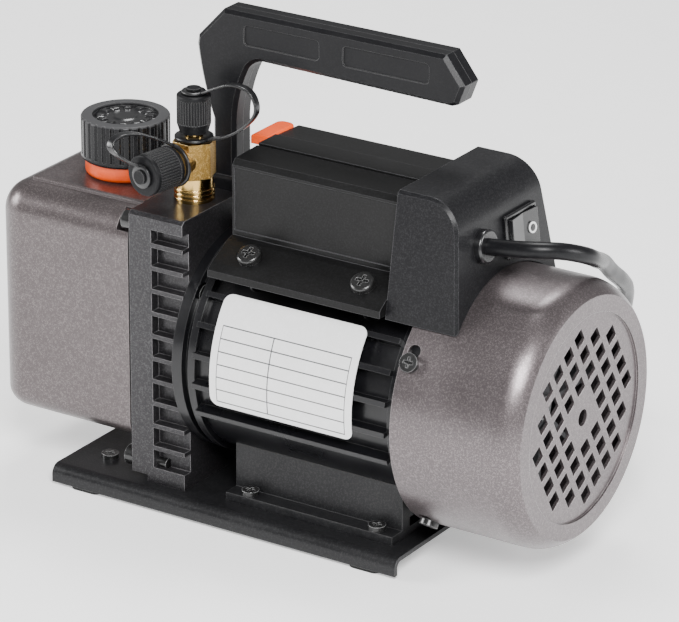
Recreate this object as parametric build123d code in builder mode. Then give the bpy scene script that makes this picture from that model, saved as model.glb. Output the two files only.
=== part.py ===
"""Single-stage rotary vane vacuum pump with its motor, oil tank, handle and mains lead.

Millimetres, +X from the oil tank to the fan cover, -Y the side with the rating label, +Z up.
The origin is the middle of the footprint, on the surface that the rubber feet stand on.
"""
import os
from math import cos, radians, sin, tan

from build123d import *

os.makedirs("parts", exist_ok=True)

# ---------------------------------------------------------------- lengths along the shaft
tank_length = 71.7
gasket_thickness = 1.0
flange_thickness = 8.1
body_thickness = 19.4
motor_gap = 114.15          # pump block to the rear edge of the fan cover
cover_length = 59.1
plug_proud = 6.0            # drain plug beyond the tank's end

# ---------------------------------------------------------------- heights and widths
foot_stand = 1.2            # rubber soles below the base's flanges
axis_height = 70.05         # motor shaft above the floor
base_thickness = 2.0
base_height = 9.03          # top of the base plate
base_length = 176.9
base_half_width = 50.0
block_half_width = 41.3
block_top = 133.0
tank_half_width = 41.0
tank_bottom = 26.2
tank_top = 130.9
pad_height = 1.8
cover_radius = 58.0
fin_radius = 53.0
box_half_width = 26.5
box_top = 161.4
housing_half_width = 32.1
housing_top = 165.7
grip_top = 213.9

# ---------------------------------------------------------------- walls and fits
tank_wall = 3.0
sheet = 1.5                 # fan cover
plastic_wall = 2.4
running_fit = 0.05
loose_fit = 0.3
gap = 0.4                   # between pieces that only stand beside each other

# ---------------------------------------------------------------- shaft and pump
shaft_radius = 6.0
bore_radius = 26.0
bore_drop = 2.5             # bore centre below the shaft
rotor_radius = bore_radius - bore_drop - running_fit
cylinder_radius = 36.0
cylinder_length = 26.0
end_plate_thickness = 6.0
vane_thickness = 4.0
vane_depth = 11.0
vane_spring_room = 4.0
vane_push = 2.0             # how far a vane can be pushed into its slot

overall_length = (tank_length + gasket_thickness + flange_thickness + body_thickness + motor_gap
                  + cover_length + plug_proud)
tank_x0 = -overall_length / 2 + plug_proud
tank_x1 = tank_x0 + tank_length
flange_x0 = tank_x1 + gasket_thickness
body_x0 = flange_x0 + flange_thickness
block_x1 = body_x0 + body_thickness
cover_x0 = block_x1 + motor_gap
cover_x1 = cover_x0 + cover_length
bolt_pcd_radius = 32.0


def ring(outer, inner, x0, x1, y=0.0, z=axis_height):
    """A ring about a line along X, from x0 to x1."""
    with BuildSketch(Plane.YZ.offset(x0)) as face:
        with Locations((y, z)):
            Circle(outer)
            if inner > 0:
                Circle(inner, mode=Mode.SUBTRACT)
    extrude(face.sketch, amount=x1 - x0)


def bore(radius, x0, x1, y=0.0, z=axis_height):
    """A round cut along X, from x0 to x1."""
    with BuildSketch(Plane.YZ.offset(x0)) as face:
        with Locations((y, z)):
            Circle(radius)
    extrude(face.sketch, amount=x1 - x0, mode=Mode.SUBTRACT)


def screw(plane, points, shank_radius, shank_length, head_radius, head_height, socket=True):
    """Screws whose heads stand on a plane and whose shanks go down behind it."""
    with BuildSketch(plane) as heads:
        with Locations(*points):
            Circle(head_radius)
    extrude(heads.sketch, amount=head_height)
    with BuildSketch(plane) as shanks:
        with Locations(*points):
            Circle(shank_radius)
    extrude(shanks.sketch, amount=-shank_length)
    with BuildSketch(plane.offset(head_height)) as recesses:
        with Locations(*points):
            if socket:
                RegularPolygon(head_radius * 0.55, 6)
            else:
                Rectangle(head_radius * 1.1, head_radius * 0.28)
                Rectangle(head_radius * 0.28, head_radius * 1.1)
    extrude(recesses.sketch, amount=-head_height * 0.55, mode=Mode.SUBTRACT)


def holes(plane, points, radius, depth):
    """Round holes going down behind a plane."""
    with BuildSketch(plane) as face:
        with Locations(*points):
            Circle(radius)
    extrude(face.sketch, amount=-depth, mode=Mode.SUBTRACT)


def left_plane(x):
    """A plane across X facing -X, with local coordinates (-y, z)."""
    return Plane(origin=(x, 0, 0), x_dir=(0, -1, 0), z_dir=(-1, 0, 0))


def polar_points(radius, count, start, y=0.0, z=axis_height):
    """Points on a circle about a line along X, as (y, z)."""
    angles = [radians(start + 360 * i / count) for i in range(count)]
    return [(y + radius * cos(a), z + radius * sin(a)) for a in angles]


# ================================================================ stations along the motor
bell_length = 12.0
bell_x1 = block_x1 + bell_length
rear_length = 15.0
rear_x1 = cover_x0 + 9.0
rear_x0 = rear_x1 - rear_length
housing_radius = 48.0
stator_radius = 44.0
rotor_gap = 0.4
stator_bore = 25.4
stator_length = 50.0
stator_x0 = (bell_x1 + rear_x0 - stator_length) / 2
bearing_outer = 16.0
bearing_inner = shaft_radius
bearing_width = 9.0
ball_radius = 2.3
pitch_radius = (bearing_outer + bearing_inner) / 2
race_gap = ball_radius + running_fit
front_bearing_x = block_x1 + 1.0
rear_bearing_x = rear_x0 + 2.0
bearing_starts = (front_bearing_x, rear_bearing_x)
bell_screw_points = polar_points(46.0, 4, 45)
fin_angles = [39.5 - 14.8 * i for i in range(5)]
fin_thickness = 2.4
saddle_half_width = 31.0
saddle_x0 = bell_x1 + 8
saddle_x1 = rear_x0 - 4
foot_flange_y = saddle_half_width + 4
motor_foot_points = [(x, y) for x in (saddle_x0 + 10, saddle_x1 - 10) for y in (-foot_flange_y, foot_flange_y)]

fan_x0 = rear_x1 + 7
fan_radius = 48.0
fan_blades = 8
fan_length = 22.0
face_radius = 52.3
face_recess_radius = 45.2
face_recess = 1.1
shoulder_x = cover_x0 + 46.8
hole_size = 6.5
hole_pitch = 9.65
grille_turn = 30.0
centre_hole = 3.65
cover_screw_angles = (30.6, 149.4, -55.0, -125.0)
cover_screw_x = cover_x0 + 4.9

def cover_screw_plane(angle):
    """The fan cover's surface under a screw, with its normal pointing out."""
    side = (0, -cos(radians(angle)), sin(radians(angle)))
    foot = (cover_screw_x, side[1] * cover_radius, axis_height + side[2] * cover_radius)
    return Plane(origin=foot, x_dir=(1, 0, 0), z_dir=side)


# ================================================================ base
base_x0 = flange_x0 - 36.9
base_x1 = base_x0 + base_length
base_bend = 4.5
foot_size = (15.0, 27.0)
foot_x = (base_x0 + 16.5, base_x1 - 16.5)
foot_screw_y = 29.3
foot_screw_points = [(x, y) for x in foot_x for y in (-foot_screw_y, foot_screw_y)]
small_shank = 2.0

with BuildPart() as base_plate:
    with BuildSketch(Plane.YZ.offset(base_x0)):
        with BuildLine():
            outline = FilletPolyline(
                (-base_half_width, foot_stand), (-base_half_width, base_height),
                (base_half_width, base_height), (base_half_width, foot_stand), radius=base_bend)
            inner = FilletPolyline(
                (base_half_width - base_thickness, foot_stand),
                (base_half_width - base_thickness, base_height - base_thickness),
                (-base_half_width + base_thickness, base_height - base_thickness),
                (-base_half_width + base_thickness, foot_stand), radius=base_bend - base_thickness)
            Line(outline @ 1, inner @ 0)
            Line(inner @ 1, outline @ 0)
        make_face()
    extrude(amount=base_length)
    holes(Plane.XY.offset(base_height), foot_screw_points, small_shank + 0.1, 3 * base_thickness)
    holes(Plane.XY.offset(base_height), motor_foot_points, small_shank, 3 * base_thickness)

with BuildPart() as rubber_feet:
    foot_outer_y = base_half_width - 0.3
    for x in foot_x:
        for side in (-1, 1):
            with BuildSketch(Plane.XY):
                with Locations((x, side * (foot_outer_y - foot_size[1] / 2))):
                    RectangleRounded(*foot_size, 3)
            extrude(amount=foot_stand)
            inner_y = base_half_width - base_thickness
            with BuildSketch(Plane.XY.offset(foot_stand)):
                with Locations((x, side * (inner_y + foot_outer_y - foot_size[1]) / 2)):
                    Rectangle(foot_size[0] - 1, inner_y - foot_outer_y + foot_size[1])
            extrude(amount=base_height - base_thickness - foot_stand)
    with Locations(*[(x, side * (base_half_width - base_thickness), base_height - base_thickness)
                     for x in foot_x for side in (-1, 1)]):
        Box(foot_size[0], 6, 6, mode=Mode.SUBTRACT)
    holes(Plane.XY.offset(base_height), foot_screw_points, small_shank + 0.05, 6.5)

# ================================================================ pump block
window_count = 11
window_pitch = 10.4
window_height = 8.4
window_depth = 4.7
window_frame = 3.3
window_first = 16.4         # bottom of the lowest window
flange_bottom = 12.2
corner_bolts = [(y, z) for y in (-36.5, 36.5) for z in (17.4, 126.6)]
tank_bolt_points = [(y, axis_height + z) for y in (-31.0, 31.0) for z in (-28.0, 28.0)]
cylinder_bolt_points = polar_points(bolt_pcd_radius, 4, 45)
fitting_x = flange_x0 + 15.3
fitting_y = -14.2
handle_y = 9.0
handle_foot_x = (flange_x0 + 6.0, block_x1 - 0.4)
handle_foot_y = (handle_y - 8.0, handle_y + 19.0)
handle_screw_y = handle_foot_y[1] - 6.0
handle_screw_points = [(handle_foot_x[0] + 5.0, handle_screw_y), (handle_foot_x[1] - 5.0, handle_screw_y)]
stub_radius = 7.0
stub_depth = 10.0
seal_radius = 12.0
seal_depth = 7.0

with BuildPart() as pump_block:
    with BuildSketch(Plane.YZ.offset(flange_x0)):
        with Locations((0, (flange_bottom + block_top) / 2)):
            Rectangle(2 * block_half_width, block_top - flange_bottom)
    extrude(amount=flange_thickness)
    with BuildSketch(Plane.YZ.offset(body_x0)):
        with Locations((0, (base_height + block_top) / 2)):
            Rectangle(2 * block_half_width, block_top - base_height)
    extrude(amount=body_thickness)
    top_edges = pump_block.edges().filter_by(Axis.X).group_by(Axis.Z)[-1]
    chamfer(top_edges, 1.6)
    for i in range(window_count):
        z = window_first + i * window_pitch
        height = window_height if i < window_count - 1 else window_height - 2.4
        for side in (-1, 1):
            with Locations((body_x0 + window_frame + body_thickness / 2,
                            side * (block_half_width - window_depth / 2 + 2), z + height / 2)):
                Box(body_thickness, window_depth + 4, height, mode=Mode.SUBTRACT)
    bore(shaft_radius + 0.5, flange_x0, block_x1)
    bore(seal_radius, block_x1 - seal_depth, block_x1)
    holes(Plane.YZ.offset(block_x1), tank_bolt_points, 2.6, 30)
    holes(Plane.YZ.offset(body_x0), corner_bolts, 2.55, flange_thickness)
    holes(Plane.YZ.offset(body_x0 + 9), corner_bolts, 2.5, 10)
    with BuildSketch(Plane.YZ.offset(flange_x0)):
        with Locations(*cylinder_bolt_points):
            Circle(2.55)
    extrude(amount=12, mode=Mode.SUBTRACT)
    holes(Plane.XY.offset(block_top), [(fitting_x, fitting_y)], stub_radius + 0.05, stub_depth + 1)
    holes(Plane.XY.offset(block_top), [(fitting_x, fitting_y)], 4.0, 45)
    bore(4.0, flange_x0, fitting_x, fitting_y, block_top - 43)
    holes(Plane.XY.offset(block_top), handle_screw_points, 2.55, 12)

with BuildPart() as block_bolts:
    screw(left_plane(flange_x0), [(-y, z) for y, z in corner_bolts], 2.5, 16, 4.4, 4.6)

with BuildPart() as shaft_seal:
    ring(seal_radius - 0.02, seal_radius - 2.2, block_x1 - seal_depth, block_x1 - 0.4)
    ring(seal_radius - 1.5, shaft_radius + running_fit, block_x1 - seal_depth, block_x1 - seal_depth + 1.6)

# ================================================================ oil tank
corner_round = 14.0
top_round = 13.5
low_round = 9.0
pocket_radius = 5.6
pocket_depth = 6.5
boss_wall = 2.4
filler_x = tank_x0 + 43.6
filler_y = -2.0
filler_radius = 13.0
filler_depth = 9.0
pad_x0 = tank_x0 + corner_round - 0.6
pad_half_width = 29.0
glass_radius = 9.5
glass_height = 63.0
drain_radius = 5.0
drain_height = 41.0
port_tilt = 9.0             # side port, from -Y towards -X

with BuildPart() as tank_outside:
    with BuildSketch(Plane.XY.offset(tank_bottom)):
        with Locations(((tank_x0 + tank_x1) / 2, 0)):
            Rectangle(tank_length, 2 * tank_half_width)
    extrude(amount=tank_top - tank_bottom)
    fillet(tank_outside.edges().filter_by(Axis.Z).group_by(Axis.X)[0], corner_round)
    right_edges = tank_outside.faces().sort_by(Axis.X)[-1].edges()
    fillet(tank_outside.faces().sort_by(Axis.Z)[-1].edges() - right_edges, top_round)
    right_edges = tank_outside.faces().sort_by(Axis.X)[-1].edges()
    fillet(tank_outside.faces().sort_by(Axis.Z)[0].edges() - right_edges, low_round)

with BuildPart() as tank_inside:
    with BuildSketch(Plane.XY.offset(tank_bottom + tank_wall)):
        with Locations(((tank_x0 + tank_wall + tank_x1) / 2, 0)):
            Rectangle(tank_length - tank_wall, 2 * (tank_half_width - tank_wall))
    extrude(amount=tank_top - tank_bottom - 2 * tank_wall)
    fillet(tank_inside.edges().filter_by(Axis.Z).group_by(Axis.X)[0], corner_round - tank_wall)
    right_edges = tank_inside.faces().sort_by(Axis.X)[-1].edges()
    fillet(tank_inside.faces().sort_by(Axis.Z)[-1].edges() - right_edges, top_round - tank_wall)
    right_edges = tank_inside.faces().sort_by(Axis.X)[-1].edges()
    fillet(tank_inside.faces().sort_by(Axis.Z)[0].edges() - right_edges, low_round - tank_wall)

upper_bolts = [(y, z) for y, z in corner_bolts if z > axis_height]
with BuildPart() as tank_bosses:
    with BuildSketch(Plane.YZ.offset(tank_x1 - pocket_depth - boss_wall)):
        with Locations(*upper_bolts):
            Circle(pocket_radius + boss_wall)
    extrude(amount=pocket_depth + boss_wall)
    with BuildSketch(Plane.YZ.offset(tank_x1 - 16)):
        with Locations(*tank_bolt_points):
            Circle(4.8)
        with Locations(*[(y * 1.12, z) for y, z in tank_bolt_points]):
            Rectangle(8, 9.6)
    extrude(amount=16)
    with Locations((filler_x, filler_y, tank_top - filler_depth / 2)):
        Cylinder(filler_radius + 3, filler_depth)
    add(tank_outside.part, mode=Mode.INTERSECT)

with BuildPart() as oil_tank:
    add(tank_outside.part)
    add(tank_inside.part, mode=Mode.SUBTRACT)
    add(tank_bosses.part)
    with BuildSketch(Plane.XY.offset(tank_top - 1)):
        with Locations(((pad_x0 + tank_x1) / 2, 0)):
            Rectangle(tank_x1 - pad_x0, 2 * pad_half_width)
    extrude(amount=pad_height + 1)
    pad_top = oil_tank.faces().sort_by(Axis.Z)[-1]
    chamfer(pad_top.edges() - pad_top.edges().group_by(Axis.X)[-1], 0.7)
    holes(Plane.XY.offset(tank_top + pad_height), [(filler_x, filler_y)], filler_radius, 30)
    holes(Plane.YZ.offset(tank_x1), upper_bolts, pocket_radius, pocket_depth)
    holes(Plane.YZ.offset(tank_x1), tank_bolt_points, 2.5, 12)
    bore(glass_radius + 0.05, tank_x0, tank_x0 + 5, 0, glass_height)
    bore(drain_radius + running_fit, tank_x0, tank_x0 + 5, 0, drain_height)

with BuildPart() as tank_gasket:
    with BuildSketch(Plane.YZ.offset(tank_x1)):
        with Locations((0, (tank_bottom + tank_top) / 2)):
            RectangleRounded(2 * tank_half_width - 1, tank_top - tank_bottom - 1, low_round)
            RectangleRounded(2 * (tank_half_width - tank_wall), tank_top - tank_bottom - 2 * tank_wall,
                             low_round - tank_wall, mode=Mode.SUBTRACT)
        with Locations(*tank_bolt_points):
            Rectangle(7.6, 7.6)
            Circle(2.6, mode=Mode.SUBTRACT)
        with Locations(*[(y * 1.17, z) for y, z in tank_bolt_points]):
            Rectangle(5, 9)
        with Locations(*upper_bolts):
            Circle(pocket_radius + boss_wall)
            Circle(pocket_radius, mode=Mode.SUBTRACT)
        with Locations(*upper_bolts):
            Circle(pocket_radius, mode=Mode.SUBTRACT)
    extrude(amount=gasket_thickness)
    with BuildSketch(Plane.YZ.offset(tank_x1)):
        with Locations((0, (tank_bottom + tank_top) / 2)):
            Rectangle(2 * tank_half_width - 1, tank_top - tank_bottom - 1)
    extrude(amount=gasket_thickness, mode=Mode.INTERSECT)

with BuildPart() as tank_bolts:
    screw(Plane.YZ.offset(block_x1), tank_bolt_points, 2.5, 37, 4.4, 4.6)

with BuildPart() as sight_glass:
    ring(glass_radius, 0, tank_x0 + 0.2, tank_x0 + 4.2, 0, glass_height)

with BuildPart() as sight_glass_ring:
    ring(glass_radius + 4, glass_radius - 1.2, tank_x0 - 2.6, tank_x0, 0, glass_height)
    chamfer(sight_glass_ring.edges().filter_by(GeomType.CIRCLE).group_by(Axis.X)[0], 0.8)

with BuildPart() as drain_seal:
    ring(drain_radius + 3.4, drain_radius + running_fit, tank_x0 - 1.2, tank_x0, 0, drain_height)

with BuildPart() as drain_plug:
    with BuildSketch(Plane.YZ.offset(tank_x0 - plug_proud)):
        with Locations((0, drain_height)):
            RegularPolygon(8.0, 6)
    extrude(amount=plug_proud - 1.2)
    ring(drain_radius, 0, tank_x0 - 1.2, tank_x0 + 7, 0, drain_height)

# ================================================================ filler cap
seat_z = tank_top + pad_height
seal_height = 7.1
cap_radius = 19.4
cap_height = 19.3
cap_flutes = 30
cap_z0 = seat_z + seal_height

with BuildPart() as cap_seal_ring:
    with BuildSketch(Plane.XY.offset(seat_z)):
        with Locations((filler_x, filler_y)):
            Circle(17.7)
            Circle(filler_radius + 0.1, mode=Mode.SUBTRACT)
    extrude(amount=seal_height)
    fillet(cap_seal_ring.faces().sort_by(Axis.Z)[0].edges().sort_by(SortBy.LENGTH)[-1], 2.2)
    with BuildSketch(Plane.XY.offset(cap_z0 - 1.2)):
        with Locations((filler_x, filler_y)):
            Circle(filler_radius + 0.1)
            Circle(filler_radius - 1.4, mode=Mode.SUBTRACT)
    extrude(amount=1.2)

with BuildPart() as oil_fill_cap:
    with BuildSketch(Plane.XY.offset(cap_z0)):
        with Locations((filler_x, filler_y)):
            Circle(cap_radius)
    extrude(amount=cap_height)
    fillet(oil_fill_cap.edges().group_by(Axis.Z)[-1], 1.2)
    fillet(oil_fill_cap.edges().group_by(Axis.Z)[0], 1.5)
    with BuildSketch(Plane.XY.offset(cap_z0 + 2.4)):
        with Locations((filler_x, filler_y)):
            with PolarLocations(cap_radius + 0.35, cap_flutes):
                Circle(1.05)
    extrude(amount=cap_height, mode=Mode.SUBTRACT)
    with BuildSketch(Plane.XY.offset(cap_z0 + cap_height)):
        with Locations((filler_x, filler_y)):
            Circle(14.4)
    extrude(amount=-1.6, mode=Mode.SUBTRACT)
    stem_bottom = seat_z - 8.0
    with BuildSketch(Plane.XY.offset(stem_bottom)):
        with Locations((filler_x, filler_y)):
            Circle(filler_radius - 1.6)
            Circle(filler_radius - 4.0, mode=Mode.SUBTRACT)
    extrude(amount=cap_z0 - stem_bottom)
    with BuildSketch(Plane.XY.offset(stem_bottom)):
        with Locations((filler_x, filler_y)):
            Circle(filler_radius - running_fit)
            Circle(filler_radius - 4.0, mode=Mode.SUBTRACT)
    extrude(amount=6.0)

# ================================================================ pump inside the tank
cylinder_x0 = flange_x0 - cylinder_length
plate_x0 = cylinder_x0 - end_plate_thickness
bore_z = axis_height - bore_drop
port_y, port_z = 11.0, axis_height + 13.0
flap_width, flap_length = 9.0, 24.0
flap_gap = 0.3

with BuildPart() as pump_cylinder:
    ring(cylinder_radius, 0, cylinder_x0, flange_x0)
    bore(bore_radius, cylinder_x0, flange_x0, 0, bore_z)
    with BuildSketch(Plane.YZ.offset(cylinder_x0)):
        with Locations(*cylinder_bolt_points):
            Circle(2.6)
    extrude(amount=cylinder_length, mode=Mode.SUBTRACT)

with BuildPart() as pump_end_plate:
    ring(cylinder_radius, shaft_radius + 0.5, plate_x0, cylinder_x0)
    with BuildSketch(Plane.YZ.offset(plate_x0)):
        with Locations(*cylinder_bolt_points):
            Circle(2.6)
        with Locations((port_y, port_z)):
            Circle(2.5)
    extrude(amount=end_plate_thickness, mode=Mode.SUBTRACT)
    with BuildSketch(Plane.YZ.offset(plate_x0)):
        with Locations((port_y, port_z - flap_length + 8)):
            Circle(1.6)
    extrude(amount=4.5, mode=Mode.SUBTRACT)

with BuildPart() as cylinder_bolts:
    screw(left_plane(plate_x0), [(-y, z) for y, z in cylinder_bolt_points],
          2.5, end_plate_thickness + cylinder_length + 11, 4.2, 4.6)

with BuildPart() as exhaust_flap:
    with BuildSketch(Plane.YZ.offset(plate_x0 - flap_gap - 0.4)):
        with Locations((port_y, port_z + 4 - flap_length / 2)):
            RectangleRounded(flap_width, flap_length, 3)
        with Locations((port_y, port_z - flap_length + 8)):
            Circle(1.9, mode=Mode.SUBTRACT)
    extrude(amount=0.4)

stop_x1 = plate_x0 - flap_gap - 0.4 - flap_gap
with BuildPart() as flap_stop:
    with BuildSketch(Plane.XZ.offset(-port_y - flap_width / 2)):
        with BuildLine():
            Polyline((stop_x1, port_z - flap_length + 4), (stop_x1 - 1.2, port_z - flap_length + 4),
                     (stop_x1 - 1.2, port_z - 8), (stop_x1 - 4.4, port_z + 4),
                     (stop_x1 - 3.2, port_z + 4), (stop_x1, port_z - 8), close=True)
        make_face()
    extrude(amount=flap_width)
    screw(left_plane(stop_x1 - 1.2), [(-port_y, port_z - flap_length + 8)], 1.5, 5.5, 2.8, 1.8,
          socket=False)

rotor_x0 = cylinder_x0 + running_fit
rotor_length = cylinder_length - 2 * running_fit
vane_outer = rotor_radius - running_fit
slot_floor = vane_outer - vane_depth - vane_spring_room
core_radius = shaft_radius + 1.0

with BuildPart() as pump_rotor:
    ring(rotor_radius, shaft_radius + 0.02, rotor_x0, rotor_x0 + rotor_length)
    for side in (-1, 1):
        with Locations((rotor_x0 + rotor_length / 2, side * (slot_floor + rotor_radius) / 2 + side,
                        axis_height)):
            Box(rotor_length, rotor_radius - slot_floor + 2, vane_thickness + 2 * running_fit,
                mode=Mode.SUBTRACT)
    with Locations(*[(rotor_x0 + rotor_length / 2, y, z) for y, z in polar_points(15.5, 2, 90)]):
        Cylinder(4.5, rotor_length, rotation=(0, 90, 0), mode=Mode.SUBTRACT)

with BuildPart() as vane_a:
    with Locations((rotor_x0 + rotor_length / 2, vane_outer - vane_depth / 2, axis_height)):
        Box(rotor_length - 0.1, vane_depth, vane_thickness)
    fillet(vane_a.edges().filter_by(Axis.X).group_by(Axis.Y)[-1], 1.2)

with BuildPart() as vane_b:
    with Locations((rotor_x0 + rotor_length / 2, -vane_outer + vane_depth / 2, axis_height)):
        Box(rotor_length - 0.1, vane_depth, vane_thickness)
    fillet(vane_b.edges().filter_by(Axis.X).group_by(Axis.Y)[0], 1.2)

spring_wire = 0.28
spring_radius = 1.5
spring_points = [rotor_x0 + rotor_length * t for t in (0.27, 0.73)]


with BuildPart() as vane_springs:
    spring_length = vane_spring_room - 2 * spring_wire - 0.1
    spring_start = slot_floor + spring_wire + 0.05
    for side in (-1, 1):
        for x in spring_points:
            with BuildLine() as coil:
                Helix(pitch=spring_length / 3, height=spring_length, radius=spring_radius,
                      center=(x, side * spring_start, axis_height), direction=(0, side, 0))
            with BuildSketch(Plane(origin=coil.line @ 0, z_dir=coil.line % 0)) as wire:
                Circle(spring_wire)
            sweep(wire.sketch, path=coil.line, is_frenet=True)

# ================================================================ where the terminal box stands
box_x0 = -17.9
box_x1 = 67.6
shelf_angle = 27.7          # the shelf that the box stands on falls away from its walls
shelf_half_width = 45.6
shelf_bottom = 113.6
wall_foot = 126.5
rib_half_width = 6.5
groove_depth = 0.8
panel_depth = 0.5
shelf_screw_x = (box_x0 + 15.3, box_x1 - 13.8)
shelf_screw_y = 36.0
housing_x1 = 102.1          # foot of the switch housing's end wall
housing_foot = 112.0
housing_foot_half_width = 41.2
end_lean = 6.8              # end wall from vertical
end_round = 15.0
under_radius = cover_radius + gap
shelf_wall = 2.7             # shelf under a screw, along the screw


def shelf_plane(x, side, lift=0.0):
    """The plane of the shelf under a screw, with its normal pointing out."""
    lean = radians(shelf_angle)
    normal = (0, side * sin(lean), cos(lean))
    height = wall_foot - 0.9 - (shelf_screw_y - 30.0) * tan(lean)
    origin = (x, side * shelf_screw_y + lift * normal[1], height + lift * normal[2])
    return Plane(origin=origin, x_dir=(1, 0, 0), z_dir=normal)


# ================================================================ motor
with BuildPart() as motor_front_bell:
    ring(50.0, 0, block_x1, block_x1 + 5)
    ring(46.5, 0, block_x1 + 5, block_x1 + 8.5)
    ring(50.5, 0, block_x1 + 8.5, bell_x1)
    ring(stator_radius - 0.1, stator_radius - 4, bell_x1, bell_x1 + 4)
    bore(stator_radius - 6, block_x1 + 4, bell_x1)
    ring(bearing_outer + 4, bearing_outer + 0.02, block_x1 + 1.0, bell_x1)
    bore(bearing_outer + 0.02, front_bearing_x, bell_x1)
    bore(shaft_radius + 1.0, block_x1, bell_x1)
    with BuildSketch(Plane.YZ.offset(block_x1)):
        with Locations(*tank_bolt_points):
            Circle(6.0)
    extrude(amount=bell_length, mode=Mode.SUBTRACT)
    holes(Plane.YZ.offset(bell_x1), bell_screw_points, 1.55, 9)

with BuildPart() as motor_housing:
    ring(housing_radius, stator_radius, bell_x1, rear_x0)
    for angle in fin_angles:
        for side in (0, 180):
            turn = side + angle if side == 0 else side - angle
            with BuildSketch(Plane(origin=(bell_x1, 0, axis_height), x_dir=(0, 1, 0), z_dir=(1, 0, 0))):
                with Locations(Location((0, 0, 0), (0, 0, turn))):
                    with Locations(((housing_radius + fin_radius) / 2 - 0.5, 0)):
                        Rectangle(fin_radius - housing_radius + 1, fin_thickness)
            extrude(amount=rear_x0 - bell_x1)
    for x in shelf_screw_x:
        for side in (-1, 1):
            with BuildSketch(shelf_plane(x, side, -shelf_wall)) as boss:
                Circle(4.5)
            extrude(boss.sketch, amount=-24)
    pad_top_z = axis_height + 52.5
    with Locations(((bell_x1 + rear_x0) / 2, 0, (axis_height + 40 + pad_top_z) / 2)):
        Box(rear_x0 - bell_x1, 44, pad_top_z - axis_height - 40)
    bore(stator_radius, bell_x1, rear_x0)
    holes(Plane.XY.offset(pad_top_z), [((bell_x1 + rear_x0) / 2, 0)], 5.0, 12)
    for x in shelf_screw_x:
        for side in (-1, 1):
            holes(shelf_plane(x, side), [(0, 0)], small_shank, 12)
    with BuildSketch(Plane.YZ.offset(bell_x1)):
        with Locations(*bell_screw_points):
            Circle(1.5)
    extrude(amount=8, mode=Mode.SUBTRACT)
    holes(Plane.YZ.offset(rear_x0), bell_screw_points, 1.5, 8)

with BuildPart() as motor_foot:
    with BuildSketch(Plane.YZ.offset(saddle_x0)):
        with Locations((0, (base_height + axis_height - 30) / 2)):
            Rectangle(2 * saddle_half_width, axis_height - 30 - base_height)
        with Locations((0, base_height + 2)):
            Rectangle(2 * saddle_half_width + 16, 4)
        with Locations((0, axis_height)):
            Circle(housing_radius, mode=Mode.SUBTRACT)
        with Locations((0, base_height + 6)):
            Rectangle(2 * saddle_half_width - 12, 4.4, mode=Mode.SUBTRACT)
    extrude(amount=saddle_x1 - saddle_x0)
    holes(Plane.XY.offset(base_height + 4), motor_foot_points, small_shank + 0.1, 5)
    holes(Plane.XY.offset(base_height + 2.6), foot_screw_points[2:], 4.4, 3)

with BuildPart() as base_screws:
    screw(Plane.XY.offset(base_height), foot_screw_points, small_shank, 6.0, 3.8, 2.2, socket=False)
    screw(Plane.XY.offset(base_height + 4), motor_foot_points, small_shank, 6.0, 3.8, 2.2, socket=False)

with BuildPart() as motor_rear_bell:
    ring(50.5, 0, rear_x0, rear_x0 + 5)
    ring(cover_radius - sheet - 0.1, 0, cover_x0 + 1.5, rear_x1)
    ring(47.0, 0, rear_x0 + 4, cover_x0 + 2)
    ring(stator_radius - 0.1, stator_radius - 4, rear_x0 - 4, rear_x0)
    bore(stator_radius - 6, rear_x0, rear_x1 - 4)
    ring(bearing_outer + 4, bearing_outer + 0.02, rear_x0, rear_x1)
    bore(bearing_outer + 0.02, rear_bearing_x, rear_bearing_x + bearing_width)
    bore(shaft_radius + 1.0, rear_x0, rear_x1)
    with BuildSketch(Plane.YZ.offset(rear_x0)):
        with Locations(*bell_screw_points):
            Circle(1.55)
    extrude(amount=rear_length, mode=Mode.SUBTRACT)
    with BuildSketch(Plane.YZ.offset(cover_x0 + 1.5)):
        with Locations(*polar_points(31.0, 6, 0)):
            Circle(6.4)
    extrude(amount=rear_x1 - cover_x0, mode=Mode.SUBTRACT)
    for angle in cover_screw_angles:
        holes(cover_screw_plane(angle), [(0, 0)], small_shank, 11)

with BuildPart() as bell_screws:
    screw(Plane.YZ.offset(rear_x1), bell_screw_points, 1.45, rear_length + 7, 2.8, 2.4)

with BuildPart() as bearing_outer_rings:
    for x in bearing_starts:
        ring(bearing_outer, pitch_radius + race_gap, x, x + bearing_width)

with BuildPart() as bearing_inner_rings:
    for x in bearing_starts:
        ring(pitch_radius - race_gap, bearing_inner + 0.01, x, x + bearing_width)

with BuildPart() as bearing_balls:
    for x in bearing_starts:
        with Locations(*[(x + bearing_width / 2, y, z) for y, z in polar_points(pitch_radius, 8, 10)]):
            Sphere(ball_radius)

with BuildPart() as stator_core:
    ring(stator_radius, stator_bore, stator_x0, stator_x0 + stator_length)
    with BuildSketch(Plane.YZ.offset(stator_x0)):
        with Locations((0, axis_height)):
            with PolarLocations(31.5, 16):
                SlotOverall(9, 4.6)
    extrude(amount=stator_length, mode=Mode.SUBTRACT)

with BuildPart() as stator_winding:
    for x in (stator_x0 - 11, stator_x0 + stator_length):
        ring(37.0, 27.2, x, x + 11)
    fillet(stator_winding.edges().filter_by(GeomType.CIRCLE), 3)
    with BuildSketch(Plane.YZ.offset(stator_x0)):
        with Locations((0, axis_height)):
            with PolarLocations(31.5, 16):
                SlotOverall(8.4, 4.0)
    extrude(amount=stator_length)

with BuildPart() as motor_rotor:
    ring(stator_bore - rotor_gap, shaft_radius + 0.02, stator_x0, stator_x0 + stator_length)
    for x in (stator_x0 - 6, stator_x0 + stator_length):
        ring(stator_bore - 3, shaft_radius + 4, x, x + 6)

shaft_end = cover_x0 + 40
with BuildPart() as motor_shaft:
    ring(shaft_radius, 0, plate_x0 + 0.5, shaft_end)
    chamfer(motor_shaft.edges().filter_by(GeomType.CIRCLE), 0.8)

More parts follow.
